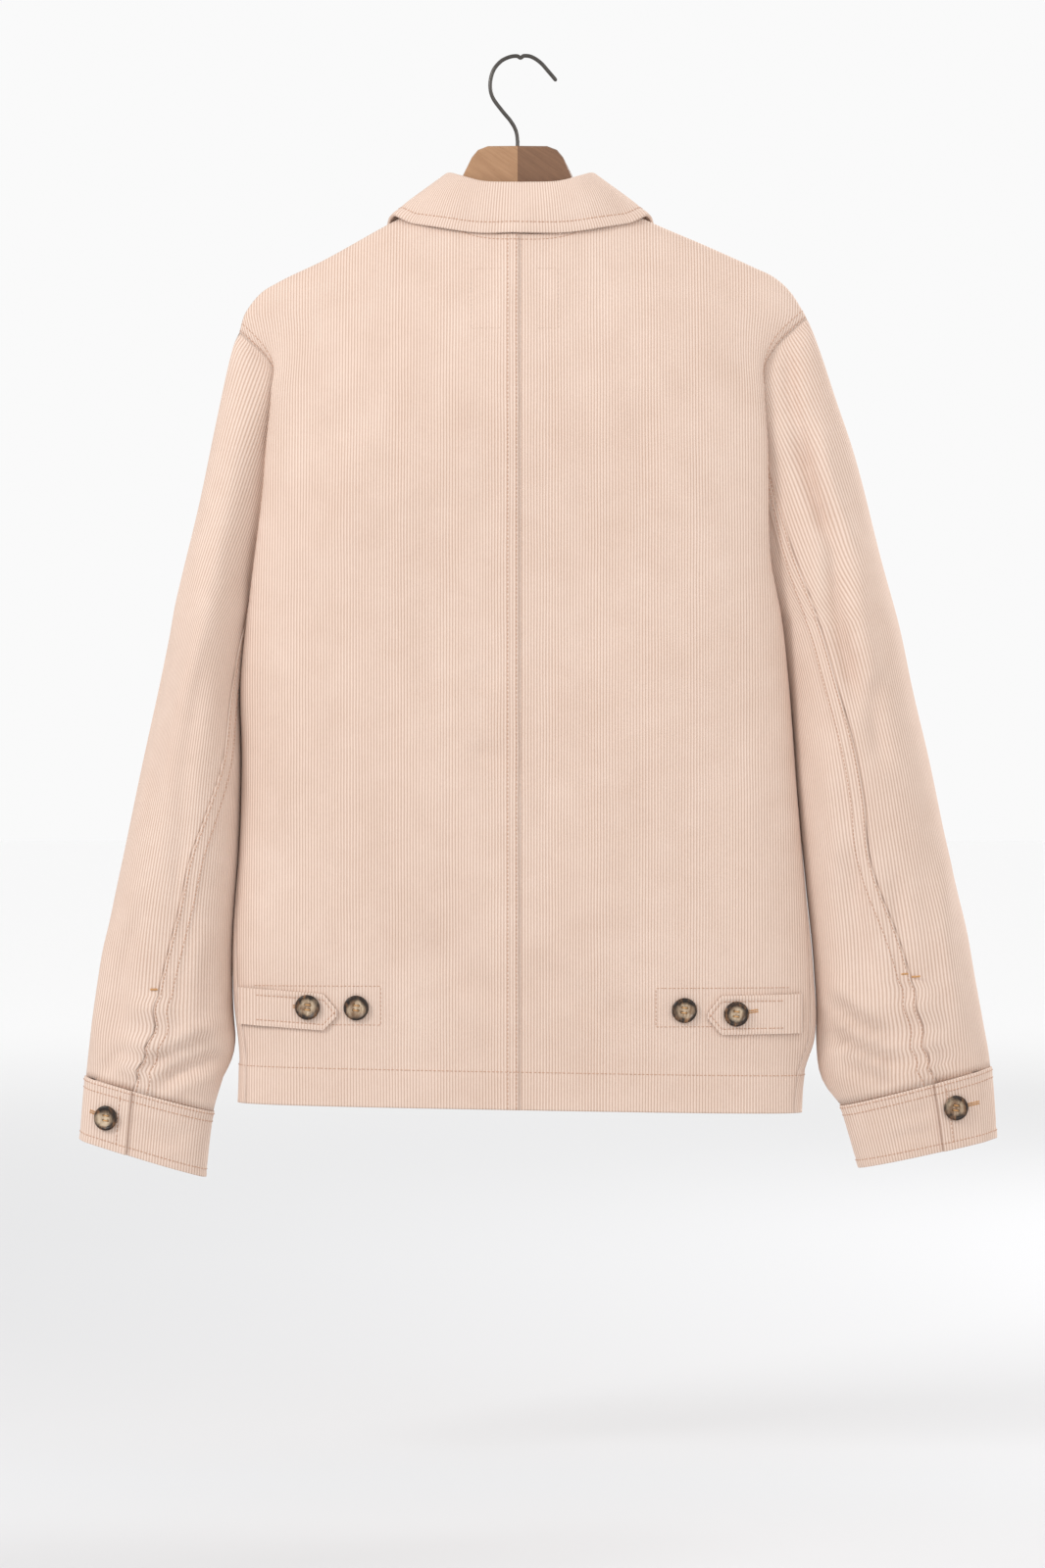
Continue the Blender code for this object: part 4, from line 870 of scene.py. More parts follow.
def cuff_band(side):
    """Surface of a cuff: rows down the wrist, columns from the covered end round to the lapped end."""
    top, end = CUFF_TOP[side] - LAY_GAP, CUFF_END[side]
    between = np.linspace(top - 5, end + 5, 12)
    level = np.concatenate((top - CUFF_EDGE, between, end + CUFF_EDGE[::-1]))[:, None]
    turn = np.linspace(-1, 1, 161)

    def ring(turns):
        """The sleeve's own ring at each level, at shares of its turn."""
        return sleeve_point(side, turns[None, :] + 0 * level, level + 0 * turns)

    along = lengths_along(ring(turn).transpose(1, 0, 2)).mean(1)
    split = np.interp(seam_share(side, 1, level.mean()), turn, along)
    whole = along[-1]
    lap_from = whole - CUFF_LAP / 2
    lapping = np.linspace(lap_from, whole + CUFF_LAP, 40)[1:]
    arc = np.concatenate((np.linspace(0, lap_from, LAP_COLUMN), lapping))
    place = split - CUFF_LAP + arc
    behind, outer, ahead = (ring(np.interp((place + step) % whole, along, turn)) for step in (-1, 0, 1))
    normal = unit(np.cross(unit(ahead - behind), (0, 0, 1.0))) * SIGN[side]
    proud = CUFF_PROUD + (DOUBLE_CLOTH + LAY_GAP) * ease((arc - lap_from) / (CUFF_LAP / 2))
    down = level[0] - level
    rise = proud + rolled(down, CUFF_ROLLS) + CUFF_WAVE * np.sin(arc / CUFF_WAVE_LENGTH)
    outer = outer + normal * rise[..., None]
    creased = crease_lift(outer[..., 0], outer[..., 2], CUFF_CREASES) * ease(down / 8)
    return outer + normal * creased[..., None], normal, np.stack(np.broadcast_arrays(arc, level), -1)


for side in SIGN:
    surface, rests_on = cuff_band(side), (f"sleeve_top_cloth_{side}",)
    CUFFS[side] = make_cloth(f"cuff_band_{side}", f"cuff_{side}", surface, DOUBLE_CLOTH)
print("cuffs, flat:", SHEETS[8:])

# %% [markdown]
# ## Laying a piece on the cloth
# A tab, a button or a stitch sits on the finished, creased cloth. Near a point of the cloth, the surface
# is almost its tangent plane, so the height of any place is read from the planes of its four nearest
# points. That follows every crease, and no piece floats or sinks.


# %% Reading the creased surface
def lay_on(piece, x, z, face=1.0):
    """Points and normals of a creased surface at places seen from the back or, if face is -1, the front."""
    points, normal = piece[0].reshape(-1, 3), piece[1].reshape(-1, 3)
    seen = normal[:, 1] * face > 0.12
    points, normal = points[seen], normal[seen]
    x, z = np.broadcast_arrays(np.asarray(x, float), np.asarray(z, float))
    shape = x.shape
    x, z = x.ravel(), z.ravel()
    far = (points[None, :, 0] - x[:, None]) ** 2 + (points[None, :, 2] - z[:, None]) ** 2
    near = np.argpartition(far, 4, axis=1)[:, :4]
    weight = 1 / (np.take_along_axis(far, near, 1) + 0.05)
    weight /= weight.sum(1, keepdims=True)
    p, n = points[near], normal[near]
    y = p[..., 1] - (n[..., 0] * (x[:, None] - p[..., 0]) + n[..., 2] * (z[:, None] - p[..., 2])) / n[..., 1]
    found = np.stack([x, (y * weight).sum(1), z], -1)
    return found.reshape(*shape, 3), unit((n * weight[..., None]).sum(1)).reshape(*shape, 3)


# %% [markdown]
# ## Collar
# A turn-down collar is a stand, which goes up from the neckline, and a fall, which rolls over it and lies
# on the shoulders. Rows of the table run from the centre back round the neck to the front point, and give
# the fold and the outer edge. The fall is a profile carried along them: a small roll and then a gently
# swelled slope.

# %% Collar pieces
COLLAR_COLUMNS = ("turn", "fold_out", "fold_y", "fold_height", "edge_out", "edge_y", "edge_height")
COLLAR_ROWS = (
    (0.0, 0, 16, -107, 0, 31, -146),
    (0.16, 30, 15, -106, 36, 30.5, -144.2),
    (0.3, 49, 9, -100.5, 68, 26, -138.5),
    (0.4, 58, 1, -97.5, 92, 16, -133),
    (0.48, 60, -8, -100, 103.5, 4, -128.6),
    (0.56, 59, -16, -106, 108, -12, -136),
    (0.68, 52, -27, -130, 108, -26, -158),
    (0.84, 33, -37, -168, 95, -37, -192),
    (1.0, 10, -41, -203, 70, -43.5, -224),
)
COLLAR_STEPS = 90
COLLAR_FOLD = 3.2  # radius of the roll at the fold
COLLAR_SWELL = 2.0
COLLAR_ROLLS = ((3.5, 3, 0.4), (9, 2.2, -0.35))
COLLAR_SETTLE = 34.0  # the strip along the outer edge that bends down to the back
SETTLE_GAP = 0.6
SETTLE_MOST = 4.5
NECK_TURN = 0.4  # where the stand passes the shoulder, on the table's scale
STAND_END = 13 / 15
STAND_ROWS = 16
STAND_TURNS = 53
STAND_BEHIND = 0.4  # between the fall and the stand
STAND_INWARD = 1.2  # how far its foot stands inside the neckline, and above it
STAND_LIFT = 0.6
STAND_HEIGHT = 44.0


def collar_rows(side, turns):
    """Fold points and edge points of the collar at turns from 0, the centre back, to 1, the front end."""
    values = [read(COLLAR_COLUMNS, COLLAR_ROWS, name, turns) for name in COLLAR_COLUMNS[1:]]
    return [np.stack(part, -1) * (SIGN[side], 1, 1) for part in (values[:3], values[3:])]


def whole_collar(turns):
    """Rows from the left front end round the back to the right front end, with their frames."""
    left, right = collar_rows("left", turns), collar_rows("right", turns)
    fold, edge = (np.concatenate((a[::-1], b[1:])) for a, b in zip(left, right))
    down = unit(edge - fold)
    out = unit(np.cross(unit(np.gradient(fold, axis=0)), down))
    return fold, edge, down, out * np.sign(out[len(fold) // 2, 1])


def looseness(edge):
    """How far the fall's outer edge can sink before it rests on the back, in mm."""
    loose = np.zeros(len(edge))
    for side in SIGN:
        on_back = (SIGN[side] * edge[:, 0] > 2) & (edge[:, 1] > 12)
        under = lay_on(PANELS["back", side], edge[on_back, 0], edge[on_back, 2])[0]
        gap = edge[on_back, 1] - under[:, 1] - DOUBLE_CLOTH
        loose[on_back] = np.clip(gap - SETTLE_GAP, 0, SETTLE_MOST)
    return np.convolve(loose, np.ones(7) / 7, "same")


def collar_fall():
    """The fall's surface: a small roll at the fold, then a swelled slope with a rolled edge."""
    fold, edge, down, out = whole_collar(np.linspace(0, 1, COLLAR_STEPS + 1))
    loose = looseness(edge)[:, None]
    width = np.linalg.norm(edge - fold, axis=1)[:, None]
    rows = [fold + COLLAR_FOLD * (out * math.cos(angle) - down * math.sin(angle))
            for angle in np.radians(np.linspace(200, 12, 14))]
    for share in np.concatenate((np.linspace(0, 0.8, 18), np.linspace(0.82, 1, 10))):
        from_edge = (1 - share) * width
        swell = COLLAR_SWELL * 4 * share * (1 - share) + rolled(from_edge, COLLAR_ROLLS)
        swell = swell - loose * ease(1 - from_edge / COLLAR_SETTLE)
        rows.append(fold + (edge - fold) * share + out * (COLLAR_FOLD * (1 - share) + swell))
    grid = np.array(rows)
    across, down_way = lengths_along(edge), lengths_along(grid[:, COLLAR_STEPS])
    cloth = np.stack(np.broadcast_arrays(across - across[COLLAR_STEPS], down_way[:, None]), -1)
    return grid, surface_normals(grid, (0, 1, 0)), cloth


def collar_stand():
    """The stand's surface: from just above the neckline up to the fold."""
    turns = np.linspace(0, STAND_END, STAND_TURNS)
    fold, _, down, out = whole_collar(turns)
    top = fold - out * (DOUBLE_CLOTH + STAND_BEHIND) + down * (COLLAR_FOLD + 1)
    feet = []
    for side in SIGN:
        back, front = PANELS["back", side][0][-1], PANELS["front", side][0][-1]
        front = front[(SIGN[side] * front[:, 0] > FRONT_LAP + 3) & (np.abs(front[:, 0]) <= NECK_HALF)]
        line = np.concatenate((back[:NECK_COLUMNS], front[::-1]))
        along = lengths_along(line)
        places = np.interp(turns, (0, NECK_TURN, STAND_END), (0, along[NECK_COLUMNS - 1], along[-1]))
        feet.append(points_at(places, along, line))
    foot = np.concatenate((feet[0][::-1], feet[1][1:]))
    foot = foot + unit(foot * (-1, -1, 0)) * STAND_INWARD + (0, 0, STAND_LIFT)
    grid = foot + (top - foot) * np.linspace(0, 1, STAND_ROWS)[:, None, None]
    height = np.linspace(0, STAND_HEIGHT, STAND_ROWS)[:, None]
    cloth = np.stack(np.broadcast_arrays(lengths_along(foot), height), -1)
    return grid, surface_normals(grid, (0, 1, 0)), cloth


FALL = collar_fall()
make_cloth("collar_fall_cloth", "collar_fall", FALL, DOUBLE_CLOTH)
make_cloth("collar_stand_cloth", "collar_stand", collar_stand(), CLOTH)
print("collar, flat:", SHEETS[10:])
print("the collar's edge could still sink by", looseness(FALL[0][-1]).max().round(1), "mm")

# %% [markdown]
# ## Waist tabs
# Each tab is a strip of two layers that starts in the side seam and ends in a blunt point. Its button
# pulls the waist in on the real jacket, and here it is done up as in the photo.

# %% Waist tabs
TAB_COLUMNS = ("root_x", "root_height", "tip_x", "tip_height", "half")
TAB_ROWS = {"left": (224, -764, 146, -769.5, 14.6), "right": (-224, -770.5, -149, -771.5, 15.6)}
TAB_TAPER = 11.0  # length of the blunt point
TAB_TIP = 2.2  # half the point's width
TAB_ROOT = 192.0  # from here out, the strip rises over the side seam
TAB_ROLLS = ((2.6, 2, 0.35), (5, 1.6, -0.45))
TABS = {}


def waist_tab(side):
    """Surface of a tab, and its thickness: rows across the strip, columns from the side seam to the point."""
    (tab,) = records(TAB_COLUMNS, (TAB_ROWS[side],))
    length = abs(tab.tip_x - tab.root_x)
    taper = TAB_TAPER / length
    along = np.concatenate((np.linspace(0, 1 - taper, 40), np.linspace(1 - taper, 1, 12)[1:]))
    reach = TAB_TIP + (tab.half - TAB_TIP) * np.clip((1 - along) / taper, 0, 1)
    across = np.sin(np.linspace(-1, 1, 25) * math.pi / 2)[:, None]
    x = tab.root_x + (tab.tip_x - tab.root_x) * along + 0 * across
    z = tab.root_height + (tab.tip_height - tab.root_height) * along + across * reach
    base, normal = lay_on(PANELS["back", side], x, z)
    from_edge = np.minimum((1 - np.abs(across)) * reach, (1 - along) * length)
    root = ease((np.abs(x) - TAB_ROOT) / 15)
    thick = DOUBLE_CLOTH + rolled(from_edge, TAB_ROLLS) * (1 - root)
    outer = base + normal * (LAY_GAP + root + thick)[..., None]
    return (outer, normal, np.stack([np.abs(x), z], -1)), thick


for side in SIGN:
    surface, thick = waist_tab(side)
    name, rests_on = f"waist_tab_cloth_{side}", (f"back_panel_{side}",)
    outer, _, cloth = make_cloth(name, f"waist_tab_{side}", surface, thick)
    TABS[side] = (outer, surface_normals(outer, (0, 1, 0)), cloth)
print("tabs, flat:", SHEETS[12:])

# %% [markdown]
# ## Stitching
# A row of topstitching runs at a fixed distance from a seam or an edge. So each row is asked for by its
# piece, its edge and its distance, and the distance is measured over the creased cloth. One stitch is a
# small capsule that sinks into the nap at both ends. A whole group of rows is one mesh.

# %% Rows of stitches
THREAD = 0.34  # radius of the topstitching thread, and of the finer ones on the body and the patches
BODY_THREAD = 0.29
PATCH_THREAD = 0.26
NECK_THREAD = 0.22
STITCH_PITCH = 3.3
STITCH_SHARE = 0.4  # half a stitch's length as a share of the pitch
STITCH_SHIFT = 0.05  # how far a stitch is off its place, as a share of the pitch, and off its direction
STITCH_TURN = 0.03
RING_SIDES = 6
RINGS = np.array((-0.8, 0.0, 0.8))
RING_TAPER = 0.55
RING_DROP = 1.1  # how far a stitch bends down towards its ends, and its poles, in radii
POLE_DROP = 1.9
SINK = 0.1


def parallel(piece, edge, distance):
    """Points and normals of a grid at a distance from one of its edges: low, high, first or last."""
    points, normal = piece[:2]
    if edge in ("first", "last"):
        points, normal = points.transpose(1, 0, 2), normal.transpose(1, 0, 2)
    if edge in ("high", "last"):
        points, normal = points[::-1], normal[::-1]
    along = lengths_along(points)
    row = np.clip((along < distance).sum(0) - 1, 0, len(points) - 2)
    column = np.arange(points.shape[1])
    start, end = along[row, column], along[row + 1, column]
    share = ((distance - start) / np.maximum(end - start, 1e-6))[:, None]
    line = points[row, column] * (1 - share) + points[row + 1, column] * share
    enough = along[-1] > distance + 1
    return line[enough], normal[row, column][enough]


def beside(piece, edge, distances, test=None):
    """Rows of stitches beside an edge of a piece, only where a test on x and z holds."""
    rows = [parallel(piece, edge, distance) for distance in distances]
    if test is None:
        return rows
    good = [test(line[:, 0], line[:, 2]) for line, _ in rows]
    return [(line[keep], normal[keep]) for (line, normal), keep in zip(rows, good)]


def run_of(line, normal, pitch, seed):
    """Centres, directions and normals of stitches at even distances along a line, each a little off true."""
    along = lengths_along(line)
    count = max(int(along[-1] / pitch), 1)
    random = np.random.default_rng(seed)
    at = (np.arange(count) + 0.5 + random.normal(0, STITCH_SHIFT, count)) * along[-1] / count
    behind, centre, ahead = (points_at(at + step * pitch, along, line) for step in (-0.4, 0, 0.4))
    direction = unit(ahead - behind) + random.normal(0, STITCH_TURN, (count, 3))
    return centre, unit(direction), unit(points_at(at, along, normal))


def capsules(centre, axis, normal, half, radius):
    """Points and faces of many capsules: rings round each axis, and poles that dip into the cloth."""
    side = unit(np.cross(normal, axis))
    up = unit(np.cross(axis, side))
    turn = np.linspace(0, 2 * math.pi, RING_SIDES, endpoint=False)
    centre = centre + up * (radius * (1 - SINK))
    wide = radius * np.sqrt(1 - RING_TAPER * RINGS**2)
    drop = -radius * RING_DROP * RINGS**2
    spine = centre[:, None, :] + axis[:, None, :] * (RINGS * half)[:, None] + up[:, None, :] * drop[:, None]
    around = side[:, None, :] * np.cos(turn)[:, None] + up[:, None, :] * np.sin(turn)[:, None]
    rings = spine[:, :, None, :] + around[:, None, :, :] * wide[None, :, None, None]
    poles = [(centre + axis * (half * end) - up * (radius * POLE_DROP))[:, None] for end in (-1, 1)]
    points = np.concatenate((rings.reshape(len(centre), -1, 3), *poles), axis=1)
    ring = np.arange(len(RINGS) * RING_SIDES).reshape(len(RINGS), RING_SIDES)
    after = np.roll(ring, -1, axis=1)
    walls = np.stack([ring[:-1], after[:-1], after[1:], ring[1:]], -1).reshape(-1, 4)
    low = np.stack([after[0], ring[0], np.full(RING_SIDES, ring.size)], -1)
    high = np.stack([ring[-1], after[-1], np.full(RING_SIDES, ring.size + 1)], -1)
    shift = (np.arange(len(centre)) * (ring.size + 2))[:, None, None]
    fours = (walls[None] + shift).reshape(-1, 4)
    threes = (np.concatenate((low, high))[None] + shift).reshape(-1, 3)
    return points.reshape(-1, 3), fours.tolist() + threes.tolist()


def sew(name, rows, pitch=STITCH_PITCH, radius=THREAD, half=None, across=False):
    """One mesh of all the stitches on a list of lines. across turns each stitch across its line."""
    runs = [run_of(line, normal, pitch, seed) for seed, (line, normal) in enumerate(rows) if len(line) > 1]
    centre, axis, normal = (np.concatenate(part) for part in zip(*runs))
    if across:
        axis = unit(np.cross(normal, axis))
    made = new_mesh(name, *capsules(centre, axis, normal, half or pitch * STITCH_SHARE, radius))
    print(name, len(centre), "stitches")
    return made


def laid_path(piece, corners, face=1.0, step=2.0):
    """A line through corners given in x and z, laid on a piece."""
    corners = np.array(corners, float)
    length = lengths_along(corners)
    at = np.linspace(0, length[-1], max(int(length[-1] / step), 3))
    return lay_on(piece, *points_at(at, length, corners).T, face)


# %% [markdown]
# The distances below are read from the photo. Armholes, centre seam and cuffs have two rows, the hem and
# the tabs one. Below the neck, a rectangle of stitches that come through from the inside shows only
# faintly.

# %% Topstitching
CENTRE_DISTANCES = (3.2, 10.2)
ARMHOLE_DISTANCES = (1.8, 7.6)
SLEEVE_DISTANCES = (1.8, 10.8)
LAP_DISTANCES = (4.0, 11.0)
CUFF_DISTANCES = (2.4, 8.4)
CUFF_LOW_ROW = 6.4
CUFF_END_ROW = 8.5
HEM_ROW = 30.4
NECK_ROW = 4.5
NECK_ROW_REACH = 56.0
COLLAR_ROW = 9.0
COLLAR_END_ROW = 7.0
COLLAR_END_LOW = -215.0
TAB_ROW = 4.8
TAB_ROW_REACH = 212.0
PATCH_COLUMNS = ("outer", "inner", "top", "bottom")
PATCHES = {"left": (213, 111.4, -748, -779), "right": (-215, -107.8, -749.7, -780.5)}
NECK_PATCHES = {"left": (15.8, 39.5, -175, -223.5), "right": (-12.0, -30.0, -175, -223.5)}


def patch_row(side, row):
    """Three sides of a stitched rectangle on the back, from its outer top corner."""
    (patch,) = records(PATCH_COLUMNS, (row,))
    corners = [(patch.outer, patch.top), (patch.inner, patch.top)]
    return laid_path(PANELS["back", side], corners + [(x, patch.bottom) for x, _ in corners[::-1]])


rows = beside(PANELS["back", "left"], "first", CENTRE_DISTANCES)
for side in SIGN:
    for name in FACE:
        rows += beside(PANELS[name, side], "low", (HEM_ROW,))
        rows += beside(PANELS[name, side], "last", ARMHOLE_DISTANCES, lambda x, z: z > UNDERARM + 4)
    rows += beside(PANELS["back", side], "high", (NECK_ROW,), lambda x, z: np.abs(x) < NECK_ROW_REACH)
rows += beside(PANELS["front", "left"], "first", LAP_DISTANCES)
STITCHES = [sew("stitches_body", rows, radius=BODY_THREAD)]

rows = [patch_row(*item) for item in PATCHES.items()]
STITCHES.append(sew("stitches_patches", rows, radius=PATCH_THREAD))
rows = [patch_row(*item) for item in NECK_PATCHES.items()]
faint_stitches = sew("stitches_neck", rows, radius=NECK_THREAD)

rows = [row for side in SIGN for row in beside(SLEEVES["under", side], "last", SLEEVE_DISTANCES)]
STITCHES.append(sew("stitches_sleeves", rows))

rows = beside(FALL, "high", (COLLAR_ROW,))
for edge in ("first", "last"):
    rows += beside(FALL, edge, (COLLAR_END_ROW,), lambda x, z: z > COLLAR_END_LOW)
STITCHES.append(sew("stitches_collar", rows))

rows = []
for side in SIGN:
    rows += beside(CUFFS[side], "low", CUFF_DISTANCES) + beside(CUFFS[side], "high", (CUFF_LOW_ROW,))
    rows += beside([part[3:-3] for part in CUFFS[side]], "last", (CUFF_END_ROW,))
STITCHES.append(sew("stitches_cuffs", rows))

rows = []
for side in SIGN:
    for edge in ("low", "high"):
        rows += beside(TABS[side], edge, (TAB_ROW,), lambda x, z: np.abs(x) < TAB_ROW_REACH)
STITCHES.append(sew("stitches_tabs", rows))

# %% [markdown]
# ## Buttons, buttonholes and bar tacks
# The buttons are horn with four holes and a sunk middle. Each is turned from one profile, the holes are
# pressed into the same grid, and two bars of thread hold it. A buttonhole is two dense rows of short
# stitches across the slit, and a bar tack is one such row.

# %% Buttons
BUTTON_RADIUS = 10.0
BUTTON_SIDES = 56
BUTTON_COLUMNS = ("share", "rise")
BUTTON_ROWS = (
    (0.0, 1.55), (0.28, 1.55), (0.5, 1.65), (0.62, 1.9), (0.74, 2.7),
    (0.82, 3.05), (0.9, 3.0), (0.97, 2.5), (1.0, 1.9),
)
BUTTON_UNDER = ((0.985, 1.2), (0.9, 0.45), (0.7, 0.0), (0.0, 0.0))
HOLE_AT = 2.0
HOLE_RADIUS = 0.95
HOLE_DEPTH = 1.1
HOLE_EDGE = 0.5
BUTTON_SEAT = {"front": LAY_GAP + 0.5, "waist": LAY_GAP + 0.5, "tab": 0.8, "cuff": 0.8}


def button_grid():
    """Points of a button on its own axes, in rings from the middle of its top to the middle of its back."""
    share = np.concatenate((np.linspace(0, 0.5, 21), np.linspace(0.54, 1, 12)))
    rise = read(BUTTON_COLUMNS, BUTTON_ROWS, "rise", share)
    share, rise = np.concatenate((np.stack([share, rise], -1), BUTTON_UNDER)).T
    turn = np.linspace(0, 2 * math.pi, BUTTON_SIDES, endpoint=False)
    x, y = (BUTTON_RADIUS * share[:, None] * wave(turn) for wave in (np.cos, np.sin))
    hole = 0
    for at_x, at_y in ((a, b) for a in (-HOLE_AT, HOLE_AT) for b in (-HOLE_AT, HOLE_AT)):
        hole = hole + ease((HOLE_RADIUS + HOLE_EDGE / 2 - np.hypot(x - at_x, y - at_y)) / HOLE_EDGE)
    return np.stack([x, y, rise[:, None] - HOLE_DEPTH * hole], -1)


def turned_faces(rings, sides):
    """Faces of a closed turned piece: quads between its rings, and a fan round the pole at each end."""
    ring = 1 + np.arange(rings * sides).reshape(rings, sides)
    after = np.roll(ring, -1, axis=1)
    walls = np.stack([ring[:-1], ring[1:], after[1:], after[:-1]], -1).reshape(-1, 4)
    top = np.stack([ring[0], after[0], np.zeros(sides, int)], -1)
    end = np.stack([after[-1], ring[-1], np.full(sides, rings * sides + 1)], -1)
    return walls.tolist() + top.tolist() + end.tolist()


BUTTON_GRID = button_grid()
BUTTON_POINTS = np.concatenate((BUTTON_GRID[0, :1], BUTTON_GRID[1:-1].reshape(-1, 3), BUTTON_GRID[-1, :1]))
BUTTON_FACES = turned_faces(len(BUTTON_GRID) - 2, BUTTON_SIDES)
print("faces of a button:", len(BUTTON_FACES))


def button(place_name, centre, normal, height):
    """A button at a height over its seat, turned to the seat's own axes, and its two bars of thread."""
    z = unit(normal)
    x = unit(DOWN - z * (DOWN @ z))
    y = np.cross(z, x)
    points = BUTTON_POINTS @ (x, y, z) + centre + z * height
    made = new_mesh(f"button_{place_name}_horn", points, BUTTON_FACES)
    attribute = made.data.attributes.new("seat", "FLOAT_VECTOR", "POINT")
    attribute.data.foreach_set("vector", (BUTTON_POINTS / BUTTON_RADIUS).astype(np.float32).ravel())
    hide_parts(f"button_{place_name}")
    BUTTONS.append(made)
    BARS.extend((centre + z * (height + BAR_HEIGHT) + x * at, y, z) for at in (-HOLE_AT, HOLE_AT))


# %% [markdown]
# The places are read from the photo, in x and z. A buttonhole runs from its button's middle to its own
# end.

# %% Fastenings
BACK_BUTTONS = {
    "tab_left": (169.4, -764.8), "waist_left": (130.7, -765.2), "waist_right": (-130.4, -767.2),
    "tab_right": (-171.7, -770.2), "cuff_left": (331.5, -854.6), "cuff_right": (-348.0, -846.2),
}
HOLE_ENDS = {
    "tab_left": (181.5, -764.3), "tab_right": (-189.5, -767.7),
    "cuff_left": (345.5, -849.3), "cuff_right": (-368.0, -842.2),
}
FRONT_BUTTONS = 6
FRONT_BUTTON_X = 1.0
FRONT_BUTTON_TOP = -232.0
FRONT_BUTTON_PITCH = 113.0
FRONT_HOLE_END = 14.5
BUTTONHOLE_PITCH = 0.8
BUTTONHOLE_HALF = 0.85  # from the slit to the middle of its stitches
BUTTONHOLE_STITCH = 0.75  # half a stitch's length
TACK_PITCH = 0.6
TACK_STITCH = 0.9
BAR_HEIGHT = 1.5
BAR_RADIUS = 0.5
TAN_RADIUS = 0.3
DOWN = np.array((0.12, 0, -1.0))  # the way that the buttons' holes are turned
TACKS = (
    ("left", ((289.5, -751), (295.5, -751))),
    ("right", ((-312, -741), (-319, -740.5))),
    ("right", ((-304, -739), (-309.5, -738.5))),
)
BUTTONS = []
BARS = []
HOLES = []


def seat_of(kind, side):
    """The piece that a button on the back sits on. A cuff's is the part that laps over."""
    if kind == "cuff":
        return [part[:, LAP_COLUMN + 2:] for part in CUFFS[side]]
    return TABS[side] if kind == "tab" else PANELS["back", side]


for place_name, (x, z) in BACK_BUTTONS.items():
    kind, side = place_name.split("_")
    button(place_name, *lay_on(seat_of(kind, side), x, z), BUTTON_SEAT[kind])
    if place_name in HOLE_ENDS:
        HOLES.append(laid_path(seat_of(kind, side), ((x, z), HOLE_ENDS[place_name]), step=BUTTONHOLE_PITCH))
for k in range(FRONT_BUTTONS):
    upper, height = PANELS["front", "left"], FRONT_BUTTON_TOP - k * FRONT_BUTTON_PITCH
    button(f"front_{k + 1}", *lay_on(upper, FRONT_BUTTON_X, height, -1.0), BUTTON_SEAT["front"])
    corners = ((FRONT_BUTTON_X, height), (FRONT_HOLE_END, height))
    HOLES.append(laid_path(upper, corners, -1.0, BUTTONHOLE_PITCH))

# Each bar of thread is one stitch between two holes.
centre, axis, normal = (np.array(part) for part in zip(*BARS))
tan_bars = new_mesh("button_thread", *capsules(centre, axis, normal, HOLE_AT + 0.5, BAR_RADIUS))

rows = []
for line, normal in HOLES:
    side_way = unit(np.cross(normal, unit(np.gradient(line, axis=0))))
    rows += [(line + side_way * off, normal) for off in (-BUTTONHOLE_HALF, BUTTONHOLE_HALF)]
tan_holes = sew("buttonholes", rows, BUTTONHOLE_PITCH, TAN_RADIUS, BUTTONHOLE_STITCH, across=True)
rows = [laid_path(SLEEVES["under", side], corners, step=0.5) for side, corners in TACKS]
tan_tacks = sew("bar_tacks", rows, TACK_PITCH, TAN_RADIUS, TACK_STITCH, across=True)

# %% [markdown]
# ## Hook and hanger
# The hook is one wire, bent in a plane: a table gives its centre line, and a ring is carried along it.
# The hanger's halves are plain blocks whose arms are hidden in the shoulders, so the solids' own halves
# stay and only get the wood's look.

# %% Wire
HOOK_WIRE = 1.6  # radius
HOOK_COLUMNS = ("x", "z")
HOOK_ROWS = (
    (2.4, -74.0), (2.4, -66), (3.8, -58.5), (8, -51), (15, -42.5), (22.4, -32), (24.4, -21.3), (22, -10.5),
    (16, -3), (9, 0.6), (3, 1.4), (0, 0), (-3, 1.6), (-9, 0.7), (-16, -3.8), (-22.5, -11), (-29, -18.7),
)
HOOK_STEPS = 200
HOOK_END = 0.12  # share of a row's length over which both ends are rounded off
WIRE_SIDES = 16


def tube(name, line, radius, across):
    """A closed tube along a plane line: rings square to the line, rounded off towards both ends."""
    ahead = unit(np.gradient(line, axis=0))
    across = np.broadcast_to(np.asarray(across, float), line.shape)
    up = np.cross(across, ahead)
    turn = np.linspace(0, 2 * math.pi, WIRE_SIDES, endpoint=False)
    ring = across[:, None, :] * np.cos(turn)[:, None] + up[:, None, :] * np.sin(turn)[:, None]
    points = line[:, None, :] + ring * radius[:, None, None]
    index = np.arange(len(line) * WIRE_SIDES).reshape(len(line), WIRE_SIDES)
    after = np.roll(index, -1, axis=1)
    walls = np.stack([index[:-1], index[1:], after[1:], after[:-1]], -1).reshape(-1, 4)
    ends = [index[0].tolist(), index[-1][::-1].tolist()]
    return new_mesh(name, points.reshape(-1, 3), walls.tolist() + ends)


knots = np.arange(len(HOOK_ROWS))
dense = np.linspace(0, knots[-1], HOOK_STEPS)
wire = {name: smooth_row(dense, knots, values) for name, values in zip(HOOK_COLUMNS, zip(*HOOK_ROWS))}
wire_line = np.stack([wire["x"], np.zeros(HOOK_STEPS), wire["z"] - HOOK_WIRE], -1)
to_end = np.clip(np.minimum(dense, dense[-1] - dense) / HOOK_END, 0.1, 1)
hook = tube("hook_wire", wire_line, HOOK_WIRE * np.sqrt(1 - (1 - to_end) ** 2), (0, 1, 0))
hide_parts("hanger_hook")
print("hook wire:", round(float(lengths_along(wire_line)[-1])), "mm long")

# %% [markdown]
# ## Looks
# Blender builds a material as a graph of nodes. The class below wraps one socket of that graph, so that
# shader maths reads like ordinary maths, as in `rib * 0.5 + 0.5`.


